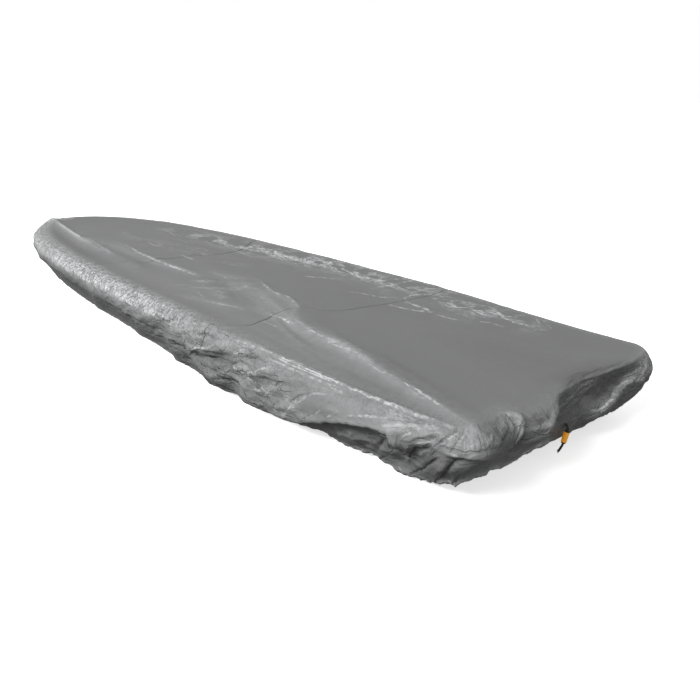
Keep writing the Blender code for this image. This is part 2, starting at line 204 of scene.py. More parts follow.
def cord_end(name, shift):
    """A round tube on the moved route, with both its tips closed."""
    line = bpy.data.curves.new(name, "CURVE")
    line.dimensions = "3D"
    line.bevel_depth = CORD_RADIUS
    line.bevel_resolution = 4
    line.use_fill_caps = True
    route = beside_route(shift)
    spline = line.splines.new("POLY")
    spline.points.add(len(route) - 1)
    spline.points.foreach_set("co", np.c_[route, np.ones(len(route))].ravel())
    made = bpy.data.objects.new(name, line)
    bpy.context.scene.collection.objects.link(made)
    length = float(np.linalg.norm(np.diff(route, axis=0), axis=1).sum())
    print(name, "is", round(length, 4), "m long")
    return made, route[0], length


port_cord, port_exit, port_length = cord_end("cord_port", -CORD_HALF_APART)
stbd_cord, stbd_exit, stbd_length = cord_end("cord_starboard", CORD_HALF_APART)

# %% [markdown]
# The lock is a small moulded barrel with a dark cap at each end. A turned part is a profile
# carried round an axis: the surface takes the share of the way round and the step along the
# profile, and every point comes out of one formula.


# %% Lock
ROUND_STEPS = 64
RIM_STEPS = 6
RIB_STEPS = 61
RIB_INSET = 1.2             # the ribs start this many rim roundings from each end
MERGE_WITHIN = 0.00002      # joins the points that meet at a pole
LOCK_RADIUS = 0.0105
LOCK_RIM = 0.0016           # rounding of the barrel's rims
LOCK_RIBS = 5
LOCK_RIB_DEPTH = 0.0007
CAP_RADIUS = 0.0086
CAP_LENGTH = 0.0050
CAP_RIM = 0.0010
CAP_RIBS = 1
CAP_RIB_DEPTH = 0.0002
LOCK_FIT = 0.0004           # gap between the barrel and each cap


def turned_part(name, start, end, profile):
    """Point = start + axis * (share along) + radius * (cos, sin) in the plane square to the axis.
    profile rows are (metres along, radius); the first and last radius are 0, so the poles meet."""
    axis = end - start
    axis = axis / np.linalg.norm(axis)
    side = np.cross(axis, (0.0, 1.0, 0.0))
    side = side / np.linalg.norm(side)
    other = np.cross(axis, side)
    rows = np.array(profile)
    angle = np.linspace(0.0, 2 * math.pi, ROUND_STEPS, endpoint=False)[None, :, None]
    ring = np.cos(angle) * side + np.sin(angle) * other
    points = start + rows[:, 0, None, None] * axis + rows[:, 1, None, None] * ring
    ids = np.arange(len(rows) * ROUND_STEPS).reshape(len(rows), ROUND_STEPS)
    right = np.roll(ids, -1, axis=1)
    faces = np.stack([ids[:-1], right[:-1], right[1:], ids[1:]], -1).reshape(-1, 4)
    mesh = bpy.data.meshes.new(name)
    mesh.from_pydata(points.reshape(-1, 3).tolist(), [], faces.tolist())
    made = bpy.data.objects.new(name, mesh)
    bpy.context.scene.collection.objects.link(made)
    work = bmesh.new()
    work.from_mesh(mesh)
    bmesh.ops.remove_doubles(work, verts=work.verts, dist=MERGE_WITHIN)
    bmesh.ops.recalc_face_normals(work, faces=work.faces)
    work.to_mesh(mesh)
    work.free()
    mesh.shade_smooth()
    print(name, len(mesh.polygons), "faces")
    return made


def barrel_profile(length, radius, round_over, ribs, depth):
    """Flat ends with rounded rims; ribs shallow grooves of a given depth along the middle."""
    turn = np.linspace(0.0, math.pi / 2, RIM_STEPS)
    rise = round_over * (1 - np.cos(turn))
    out = radius - round_over * (1 - np.sin(turn))
    inset = round_over * RIB_INSET
    along = np.linspace(inset, length - inset, RIB_STEPS)
    grooves = 0.5 - 0.5 * np.cos(2 * math.pi * ribs * (along - along[0]) / (along[-1] - along[0]))
    middle = np.c_[along, radius - depth * grooves ** 3]
    first = np.c_[rise, out]
    last = np.c_[length - rise[::-1], out[::-1]]
    return np.vstack([[0.0, 0.0], first, middle, last, [length, 0.0]])


lock_length = float(np.linalg.norm(LOCK_LOW - LOCK_TOP))
lock_axis = (LOCK_LOW - LOCK_TOP) / lock_length
barrel = turned_part(
    "lock_barrel", LOCK_TOP, LOCK_LOW,
    barrel_profile(lock_length, LOCK_RADIUS, LOCK_RIM, LOCK_RIBS, LOCK_RIB_DEPTH))
cap_profile = barrel_profile(CAP_LENGTH, CAP_RADIUS, CAP_RIM, CAP_RIBS, CAP_RIB_DEPTH)
upper_start = LOCK_TOP - lock_axis * (LOCK_FIT + CAP_LENGTH)
cap_upper = turned_part("lock_cap_upper", upper_start, LOCK_TOP - lock_axis * LOCK_FIT,
                        cap_profile)
lower_start = LOCK_LOW + lock_axis * LOCK_FIT
cap_lower = turned_part("lock_cap_lower", lower_start, lower_start + lock_axis * CAP_LENGTH,
                        cap_profile)

# %% [markdown]
# A drape over a rim has two easy coordinates. `along` is the distance round the edge of the flat
# top, from the bow tip, negative to port; it meets itself at the middle of the stern. `down` runs
# from 0 at that edge to 1 at the hem. The top's own outline is a rounded bow that runs into nearly
# straight sides and a square stern.

# %% Outline of the top
RAIL_LENGTH = 4.30
RAIL_HALF = 0.62
STERN_HALF = 0.571
WIDEST_FROM_STERN = 1.53
BOW_FULLNESS = 2.74
BOW_ROUNDING = 2.20
CORNER_RADIUS = 0.075
NORMAL_REACH = 0.03         # how far apart two places are that give the edge its direction
BOW_STEPS = 400
SIDE_STEPS = 100
CORNER_EVERY = 8            # the corner uses every eighth of the bow's turns
HALF_ROUND = math.pi / 2
STERN_Y = -RAIL_LENGTH / 2
BOW_Y = RAIL_LENGTH / 2
WIDEST_Y = STERN_Y + WIDEST_FROM_STERN


def half_outline():
    """Starboard half. Bow: x = half * sin t and y = widest + reach * (1 - sin(t)^p)^(1/q). Side:
    x falls with the square of the distance aft. Corner: a quarter circle. Then straight across."""
    turn = np.linspace(0.0, HALF_ROUND, BOW_STEPS)
    bow_x = RAIL_HALF * np.sin(turn)
    bow_y = WIDEST_Y + (BOW_Y - WIDEST_Y) * (1 - np.sin(turn) ** BOW_ROUNDING) ** (1 / BOW_FULLNESS)
    side_y = np.linspace(WIDEST_Y, STERN_Y + CORNER_RADIUS, SIDE_STEPS)[1:]
    side_x = RAIL_HALF - (RAIL_HALF - STERN_HALF) * ((WIDEST_Y - side_y) / WIDEST_FROM_STERN) ** 2
    corner_turn = turn[::CORNER_EVERY]
    corner_x = side_x[-1] - CORNER_RADIUS * (1 - np.cos(corner_turn))[1:]
    corner_y = side_y[-1] - CORNER_RADIUS * np.sin(corner_turn)[1:]
    x = np.concatenate([bow_x, side_x, corner_x, [0.0]])
    y = np.concatenate([bow_y, side_y, corner_y, [STERN_Y]])
    along = np.concatenate([[0.0], np.cumsum(np.hypot(np.diff(x), np.diff(y)))])
    return x, y, along


OUTLINE_X, OUTLINE_Y, OUTLINE_ALONG = half_outline()
HALF_WAY = OUTLINE_ALONG[-1]
WHOLE_WAY = 2 * HALF_WAY


def wrapped(along):
    """The same place on the edge, as a number between -HALF_WAY and HALF_WAY."""
    return (along + HALF_WAY) % WHOLE_WAY - HALF_WAY


def each_turn(along):
    """The same places one whole way back, as they are, and one whole way on. A table's rows may
    run past the middle of the stern, and this finds them from either side."""
    return [wrapped(along) + turn * WHOLE_WAY for turn in (-1, 0, 1)]


def even_edge(along):
    """Place on the even outline; the sign of along picks the side."""
    way = wrapped(along)
    x = np.sign(way) * np.interp(np.abs(way), OUTLINE_ALONG, OUTLINE_X)
    return x, np.interp(np.abs(way), OUTLINE_ALONG, OUTLINE_Y)


def outward(along):
    """Level direction straight out: the run between two near places, turned by a quarter."""
    x0, y0 = even_edge(along - NORMAL_REACH)
    x1, y1 = even_edge(along + NORMAL_REACH)
    length = np.hypot(x1 - x0, y1 - y0)
    return -(y1 - y0) / length, (x1 - x0) / length


print("once round the edge:", round(WHOLE_WAY, 3), "m")

# %% [markdown]
# Hand-made cloth isn't even, so the shape comes from short tables: how far the edge wanders, and
# the section of the skirt at places round it. A smooth curve runs through the rows. Near the port
# stern corner, the cloth hangs in a wide flap that stands well clear of the skirt below it.

# %% Tables of the drape
EDGE = (
    # along, out
    (-5.04, 0.010), (-4.96, 0.018), (-4.89, 0.042), (-4.82, 0.046), (-4.76, 0.036),
    (-4.69, -0.018), (-4.60, -0.004), (-4.50, 0.000), (-3.90, 0.006), (-3.40, -0.006),
    (-2.90, 0.006), (-2.30, -0.004), (-1.40, 0.004), (-0.55, 0.004), (0.00, 0.000),
    (0.80, 0.004), (2.30, -0.004), (3.60, 0.006), (4.40, 0.000), (4.56, 0.018), (4.68, 0.034),
    (4.80, 0.026), (4.95, 0.006),
)
SKIRT = (
    # along, lip_out, lip_drop, under_out, under_drop, hem_out, hem_drop
    (-5.05, 0.006, 0.070, -0.018, 0.160, -0.034, 0.230),
    (-4.90, 0.024, 0.075, -0.006, 0.140, -0.034, 0.216),
    (-4.75, 0.036, 0.085, 0.010, 0.135, -0.036, 0.210),
    (-4.62, 0.046, 0.065, 0.024, 0.110, -0.040, 0.212),
    (-4.50, 0.050, 0.056, 0.030, 0.100, -0.050, 0.220),
    (-4.40, 0.056, 0.058, 0.034, 0.102, -0.062, 0.240),
    (-4.32, 0.060, 0.074, 0.026, 0.116, -0.074, 0.268),
    (-4.22, 0.064, 0.078, 0.012, 0.122, -0.084, 0.292),
    (-4.10, 0.064, 0.095, 0.010, 0.140, -0.088, 0.282),
    (-3.98, 0.064, 0.132, 0.014, 0.176, -0.082, 0.278),
    (-3.76, 0.060, 0.190, 0.032, 0.226, -0.060, 0.276),
    (-3.50, 0.054, 0.150, 0.044, 0.218, -0.020, 0.278),
    (-3.20, 0.050, 0.105, 0.040, 0.190, -0.016, 0.276),
    (-2.84, 0.048, 0.095, 0.024, 0.160, -0.040, 0.268),
    (-2.30, 0.050, 0.088, 0.014, 0.145, -0.056, 0.254),
    (-1.60, 0.050, 0.085, 0.012, 0.140, -0.058, 0.252),
    (-0.90, 0.050, 0.080, 0.014, 0.140, -0.050, 0.250),
    (-0.35, 0.048, 0.075, 0.020, 0.140, -0.030, 0.240),
    (0.00, 0.046, 0.070, 0.024, 0.140, -0.018, 0.235),
    (0.45, 0.048, 0.075, 0.018, 0.140, -0.034, 0.245),
    (1.10, 0.050, 0.082, 0.014, 0.142, -0.052, 0.256),
    (2.00, 0.050, 0.088, 0.014, 0.145, -0.056, 0.264),
    (2.90, 0.052, 0.092, 0.020, 0.155, -0.048, 0.276),
    (3.60, 0.056, 0.105, 0.026, 0.170, -0.050, 0.284),
    (4.10, 0.058, 0.100, 0.030, 0.160, -0.060, 0.280),
    (4.35, 0.054, 0.106, 0.028, 0.170, -0.056, 0.262),
    (4.50, 0.044, 0.104, 0.016, 0.172, -0.046, 0.246),
    (4.66, 0.004, 0.085, 0.006, 0.165, -0.036, 0.240),
    (4.85, -0.014, 0.080, -0.002, 0.160, -0.034, 0.236),
)
SECTION_KNOTS = np.array([0.0, 0.125, 0.375, 0.625, 1.0])   # edge, shoulder, lip, under, hem
SHOULDER_OUT = 0.68         # the shoulder, as shares of the lip's own out and drop
SHOULDER_DROP = 0.26
SAG = 0.012                 # how far the middle of the top hangs below its edge
BOWL_MARGIN = 0.05          # the sag runs out this far past the even outline
BOWL_ENDS = 0.2             # and over this share of the half length at bow and stern
CENTRE_FOLD = 0.0045        # height of the folds at the top's centre, which is z = 0
BOW_DIP = 0.026
DIP_FROM = -0.86
FOLD_TAPER = 3.0            # a fold on the top dies out this many times slower past its ends
RAMP = 0.045                # skirt folds reach their full height this far below the edge

# %% [markdown]
# Main folds are soft ridges (height above 0) and troughs along straight runs: on the top in plain
# x and y, on the skirt in metres along and metres of drop. These are the same as the packed
# solids have, so the fine cloth lies on them.

# %% Main folds
TOP_FOLDS = (
    # x0, y0, x1, y1, width, height
    (-0.19, 2.00, -0.35, 0.98, 0.060, 0.014),
    (-0.35, 1.00, -0.37, 0.42, 0.055, 0.016),
    (-0.18, 0.90, -0.22, -0.08, 0.050, 0.010),
    (0.06, 0.70, -0.16, -0.86, 0.060, 0.010),
    (-0.20, -0.40, -0.37, -1.10, 0.065, -0.012),
    (-0.28, -0.96, -0.37, -1.50, 0.060, 0.012),
    (-0.37, -1.48, -0.50, -2.08, 0.055, 0.014),
    (0.36, 0.60, 0.45, -0.50, 0.090, -0.010),
    (0.20, -1.30, 0.42, -2.00, 0.120, -0.008),
    (-0.10, -1.45, -0.22, -2.05, 0.110, -0.008),
    (-0.48, 0.20, -0.50, -0.70, 0.070, -0.008),
)
SKIRT_FOLDS = (
    # along0, drop0, along1, drop1, width, height
    (-4.99, 0.03, -4.78, 0.12, 0.050, -0.022),
    (-4.86, 0.02, -4.74, 0.15, 0.040, 0.020),
    (-4.55, 0.06, -4.32, 0.20, 0.045, 0.018),
    (-4.42, 0.04, -4.22, 0.24, 0.040, -0.016),
    (-4.30, 0.05, -4.14, 0.22, 0.045, 0.014),
    (-4.10, 0.15, -3.95, 0.27, 0.045, 0.010),
    (-3.98, 0.15, -3.80, 0.27, 0.045, -0.010),
    (-3.72, 0.05, -3.48, 0.22, 0.055, 0.014),
    (-3.55, 0.04, -3.34, 0.24, 0.045, -0.020),
    (-3.42, 0.09, -3.16, 0.26, 0.050, 0.018),
    (-3.20, 0.04, -3.02, 0.18, 0.045, -0.020),
    (-3.10, 0.08, -2.84, 0.25, 0.050, 0.018),
    (-2.92, 0.03, -2.78, 0.16, 0.045, -0.014),
    (-2.60, 0.16, -2.42, 0.25, 0.050, 0.012),
    (-2.05, 0.15, -1.88, 0.24, 0.050, 0.010),
    (-1.10, 0.05, -1.02, 0.20, 0.060, 0.008),
    (-0.42, 0.03, -0.30, 0.19, 0.055, -0.014),
    (-0.12, 0.03, -0.20, 0.18, 0.050, 0.012),
    (0.95, 0.05, 1.06, 0.22, 0.060, 0.010),
    (1.85, 0.05, 1.98, 0.24, 0.060, -0.012),
    (2.70, 0.04, 2.86, 0.24, 0.060, 0.014),
    (3.30, 0.04, 3.44, 0.24, 0.060, -0.014),
    (3.95, 0.04, 4.06, 0.22, 0.050, 0.014),
    (4.34, 0.05, 4.22, 0.22, 0.050, -0.012),
    (4.70, 0.07, 5.14, 0.12, 0.045, -0.020),
    (4.58, 0.05, 4.86, 0.19, 0.035, 0.018),
)


def through(places, knots, values):
    """Smooth curve through a table: between two rows, a cubic with each row's own slope."""
    slopes = np.gradient(values, knots)
    cell = np.clip(np.searchsorted(knots, places) - 1, 0, len(knots) - 2)
    span = knots[cell + 1] - knots[cell]
    t = np.clip((places - knots[cell]) / span, 0.0, 1.0)
    start = values[cell] * (1 + 2 * t) * (1 - t) ** 2 + slopes[cell] * span * t * (1 - t) ** 2
    end = values[cell + 1] * t * t * (3 - 2 * t) + slopes[cell + 1] * span * t * t * (t - 1)
    return start + end


def round_table(table, column, along):
    """One column of a table that runs round the whole edge and meets itself at the stern."""
    rows = np.array(table)
    knots = np.concatenate([rows[-2:, 0] - WHOLE_WAY, rows[:, 0], rows[:2, 0] + WHOLE_WAY])
    values = np.concatenate([rows[-2:, column], rows[:, column], rows[:2, column]])
    return through(wrapped(along), knots, values)


def run_of(a, b, a0, b0, a1, b1):
    """Signed distance beside a straight run, distance past its ends, and share along it."""
    run = math.hypot(a1 - a0, b1 - b0)
    share = ((a - a0) * (a1 - a0) + (b - b0) * (b1 - b0)) / run ** 2
    side = ((a - a0) * (b1 - b0) - (b - b0) * (a1 - a0)) / run
    return side, np.maximum(np.abs(share - 0.5) - 0.5, 0.0) * run, np.clip(share, 0.0, 1.0)


def folds(a, b, table, taper=1.0):
    """Sum of soft ridges: height * exp(-(side^2 + (past / taper)^2) / width^2)."""
    total = np.zeros_like(a)
    for a0, b0, a1, b1, width, height in table:
        side, past, _ = run_of(a, b, a0, b0, a1, b1)
        total += height * np.exp(-(side ** 2 + (past / taper) ** 2) / width ** 2)
    return total


print(len(TOP_FOLDS), "folds on the top,", len(SKIRT_FOLDS), "on the skirt")

# %% [markdown]
# With the tables in hand, the whole drape is two functions. `top_height` gives z over any x and y.
# `skirt_point` gives the place for any along and down: it starts at the edge, goes out over the
# rim to a lip, turns under it and ends at the gathered hem.


# %% The drape
def edge(along):
    """Even outline, moved straight out by the EDGE table."""
    x, y = even_edge(along)
    out_x, out_y = outward(along)
    off = round_table(EDGE, 1, along)
    return x + out_x * off, y + out_y * off


def top_height(x, y):
    """z = sag * (1 - bowl) - dip towards the bow - level of the centre + main folds."""
    reach = np.clip((y - WIDEST_Y) / (BOW_Y - WIDEST_Y), 0.0, 1.0)
    half = RAIL_HALF * (1 - reach ** BOW_FULLNESS) ** (1 / BOW_ROUNDING) + BOWL_MARGIN
    across = np.clip(np.abs(x) / half, 0.0, 1.0)
    ends = np.clip((1 - np.abs(y) / BOW_Y) / BOWL_ENDS, 0.0, 1.0)
    bowl = (1 - across ** 2) * ends * (2 - ends)
    dip = BOW_DIP * np.clip((y - DIP_FROM) / (BOW_Y - DIP_FROM), 0.0, 1.0) ** 2
    return SAG * (1 - bowl) - dip - CENTRE_FOLD + folds(x, y, TOP_FOLDS, FOLD_TAPER)


def skirt_point(along, down):
    """Edge + outward * (section + folds) in the level, and top height - section drop in z."""
    lip_out, lip_drop, under_out, under_drop, hem_out, hem_drop = (
        round_table(SKIRT, column, along) for column in range(1, 7))
    outs = (0 * lip_out, SHOULDER_OUT * lip_out, lip_out, under_out, hem_out)
    drops = (0 * lip_out, SHOULDER_DROP * lip_drop, lip_drop, under_drop, hem_drop)
    weights = [through(down, SECTION_KNOTS, row) for row in np.eye(5)]
    out = sum(weight * value for weight, value in zip(weights, outs))
    drop = sum(weight * value for weight, value in zip(weights, drops))
    pushed = sum(folds(way, drop, SKIRT_FOLDS) for way in each_turn(along))
    out = out + pushed * np.clip(drop / RAMP, 0.0, 1.0)
    rim_x, rim_y = edge(along)
    out_x, out_y = outward(along)
    fade = round_table(EDGE, 1, along) * down
    place = np.stack([rim_x + out_x * (out - fade), rim_y + out_y * (out - fade),
                      top_height(rim_x, rim_y) - drop], -1)
    return place, drop


# %% [markdown]
# The three panels meet along two seams that wander a little across the boat. Each seam is a curve
# through listed places. A panel's part of the top fills the space between its two ends and its
# two sides: that blend of four edge curves is called a Coons patch.

# %% Seams and patches
BOW_SEAM = (
    # across (share of the half width, port is -1), y
    (-1.00, 0.57), (-0.75, 0.47), (-0.58, 0.40), (-0.20, 0.41), (0.15, 0.35), (0.45, 0.34),
    (0.75, 0.44), (1.00, 0.53),
)
MID_SEAM = (
    # across, y
    (-1.00, -0.81), (-0.93, -0.85), (-0.78, -0.91), (-0.62, -0.88), (-0.42, -0.835),
    (-0.29, -0.86),
    (-0.20, -0.93), (-0.05, -0.98), (0.21, -1.02), (0.40, -1.05), (0.68, -1.09), (1.00, -1.09),
)
HALF_GAP = 0.0003           # the panels meet this close to the seam's own line
BOW_CORNER = 0.50           # along, where the bow panel's patch turns from its end to its side
STERN_CORNER = HALF_WAY - STERN_HALF + CORNER_RADIUS * (1 - HALF_ROUND / 2)


def along_at(y, side):
    """Distance round the edge to where it passes y on one side (port is -1)."""
    return side * np.interp(-y, -OUTLINE_Y, OUTLINE_ALONG)


def seam_line(table, shift, count):
    """x and y of count points along a seam, port to starboard, moved by shift to the bow."""
    rows = np.array(table)
    across = np.linspace(-1.0, 1.0, count)
    y = through(across, rows[:, 0], rows[:, 1]) + shift
    port = edge(along_at(rows[0, 1] + shift, -1))
    stbd = edge(along_at(rows[-1, 1] + shift, 1))
    x = port[0] + (stbd[0] - port[0]) * (across + 1) / 2
    y[0] = port[1]
    y[-1] = stbd[1]
    return x, y


def patch(front, back, port, stbd):
    """Ruled one way + ruled the other way - the blend of the four corners, for x and for y."""
    u = np.linspace(0.0, 1.0, len(front[0]))[None, :]
    v = np.linspace(0.0, 1.0, len(port[0]))[:, None]
    flat = []
    for axis in (0, 1):
        f, b, p, s = front[axis], back[axis], port[axis], stbd[axis]
        ruled = f[None, :] * (1 - v) + b[None, :] * v + p[:, None] * (1 - u) + s[:, None] * u
        ends = (f[0] * (1 - v) + b[0] * v) * (1 - u) + (f[-1] * (1 - v) + b[-1] * v) * u
        flat.append(ruled - ends)
    return flat


def seam_ends(table, shift):
    """Where a seam meets the edge, on the port and the starboard side."""
    return along_at(table[0][1] + shift, -1), along_at(table[-1][1] + shift, 1)


print("seams meet the edge at", [round(float(v), 3) for v in (*seam_ends(BOW_SEAM, 0.0),
                                                              *seam_ends(MID_SEAM, 0.0))])

# %% [markdown]
# Creased cloth needs two things that a table can't give by itself: small unevenness that never
# repeats, and folds that sharpen to a line. The first is gradient noise, a random slope at every
# whole step of a lattice with a smooth blend between. It repeats after a whole number of steps
# where the coordinate goes round the boat.


# %% Noise for cloth
LABELS = 256                # lattice corners before the random numbers repeat
NOISE_GAIN = 1.6            # brings gradient noise to about -1 to 1
FACET_JITTER = (0.15, 0.85)     # where a facet's centre may lie in its cell
FACET_TILT = (0.5, 1.0)
FACET_SHARP = 9.0
TINY = 1e-9


def uneven(seed, *coordinates, period=0):
    """Gradient noise, about -1 to 1: at each lattice corner a random slope times the distance to
    it, blended by 6t^5 - 15t^4 + 10t^3. period is in whole steps of the first coordinate."""
    place = np.stack(np.broadcast_arrays(*coordinates), -1)
    cell = np.floor(place).astype(int)
    part = place - cell
    blend = part ** 3 * (part * (part * 6 - 15) + 10)
    made = np.random.default_rng(seed)
    order = made.permutation(LABELS)
    slopes = made.normal(size=(LABELS, place.shape[-1]))
    slopes /= np.linalg.norm(slopes, axis=-1, keepdims=True)
    total = 0.0
    for corner in np.ndindex(*(2,) * place.shape[-1]):
        at = cell + corner
        if period:
            at[..., 0] %= period
        label = 0
        for axis in range(place.shape[-1]):
            label = order[(at[..., axis] + label) % LABELS]
        reach = ((part - corner) * slopes[label]).sum(-1)
        total = total + reach * np.where(corner, blend, 1 - blend).prod(-1)
    return total * NOISE_GAIN


def step(value, low, high):
    """0 below low, 1 above high, 3t^2 - 2t^3 between."""
    t = np.clip((value - low) / (high - low), 0.0, 1.0)
    return t * t * (3 - 2 * t)


def window(value, rise, full, fall, gone):
    """0 below rise, 1 from full to fall, and 0 again above gone."""
    return step(value, rise, full) * (1 - step(value, fall, gone))


def crest(value, sharp):
    """Turns noise to creases: 1 on its zero line, falling off on both sides; sharp narrows it."""
    return 1.0 / (1.0 + (value * sharp) ** 2)


def whole_waves(wave):
    """How many waves of about this length go round the whole edge."""
    return max(int(round(WHOLE_WAY / wave)), 1)


def way_noise(seed, along, other, wave, other_wave):
    """Noise round the edge with waves of about `wave` metres, and other_wave the other way."""
    laps = whole_waves(wave)
    return uneven(seed, (along + HALF_WAY) * laps / WHOLE_WAY, other / other_wave, period=laps)


def facets(seed, a, b, laps=0, sharp=FACET_SHARP):
    """Crumpled sheet: each cell of a jittered lattice is a flat facet with its own random tilt.
    Height = sum(weight * tilt . offset) / sum(weight), weight = exp(-sharp * distance)."""
    made = np.random.default_rng(seed)
    order = made.permutation(LABELS)
    jitter = made.uniform(*FACET_JITTER, (LABELS, 2))
    turn = made.uniform(0.0, 2 * math.pi, LABELS)
    tilt = np.stack([np.cos(turn), np.sin(turn)], -1) * made.uniform(*FACET_TILT, (LABELS, 1))
    place = np.stack(np.broadcast_arrays(a, b), -1)
    cell = np.floor(place).astype(int)
    total = 0.0
    weights = TINY
    for offset in ((i, j) for i in (-1, 0, 1) for j in (-1, 0, 1)):
        at = cell + offset
        column = at[..., 0] % laps if laps else at[..., 0]
        label = order[(column + order[at[..., 1] % LABELS]) % LABELS]
        reach = place - at - jitter[label]
        weight = np.exp(-sharp * np.linalg.norm(reach, axis=-1))
        total = total + weight * (reach * tilt[label]).sum(-1)
        weights = weights + weight
    return total / weights


def way_facets(seed, along, path, wave, path_wave, lean, sharp):
    """Facets round the edge, wave by path_wave metres; lean slants them against the path."""
    laps = whole_waves(wave)
    return facets(seed, (along + lean * path + HALF_WAY) * laps / WHOLE_WAY, path / path_wave,
                  laps, sharp)


print("noise sample:", np.round(uneven(3, np.array([0.3, 1.7]), np.array([0.5, 2.2])), 3))

# %% [markdown]
# Each panel is two grids sewn together in the numbers: a coarser one for its part of the top, and
# one twice as fine for the skirt, because nearly all the creasing is there. Where they meet, each
# coarse edge carries three triangles to two fine edges. The stern's edge isn't as crisp as the
# sides': it is sunk a little, and most in a hollow in its starboard half. Later every point moves
# along its own normal, by a height worked out from its place.

# %% Panel grids
TOP_CELL = 0.0112
FEWEST_CELLS = 4
SKIRT_ROWS = 56
CHUNKS = 16                 # parts of the top that look for the nearest edge in turn
STERN_FROM = 4.66           # along, where the edge starts to sink, on both sides
STERN_RISE = 0.16           # and the length over which it does so
STERN_SUNK = 0.010
HOLLOW_SUNK = 0.020         # so much more in the hollow
HOLLOW_AT = 4.93            # along, middle of the hollow
HOLLOW_HALF = 0.20
HOLLOW_REACH = 0.13         # over the cloth, up and down from the edge
SUNK_IN = 0.9               # shares of the sinking that go forwards and down
SUNK_DOWN = 0.8


def cells(length):
    """How many coarse cells a length takes."""
    return max(int(round(abs(length) / TOP_CELL)), FEWEST_CELLS)


def stretch(start, stop, count=None):
    """Evenly spaced places along the edge, one more than there are cells."""
    return np.linspace(start, stop, (count or cells(stop - start)) + 1)


def quads(ids):
    """Corners of the four-sided faces between neighbouring rows and columns."""
    return np.stack([ids[:-1, :-1], ids[:-1, 1:], ids[1:, 1:], ids[1:, :-1]], -1).reshape(-1, 4)


def widen(ring, fine):
    """Three triangles from each edge of a ring to the two edges of a ring twice as fine."""
    a, b = ring[:-1], ring[1:]
    start, middle, stop = fine[:-2:2], fine[1::2], fine[2::2]
    return np.concatenate([np.stack(three, -1) for three in
                           ((a, middle, start), (a, b, middle), (b, stop, middle))])


def between(values):
    """The values with the middle of each pair put between them."""
    fine = np.empty(2 * len(values) - 1)
    fine[::2] = values
    fine[1::2] = (values[:-1] + values[1:]) / 2
    return fine


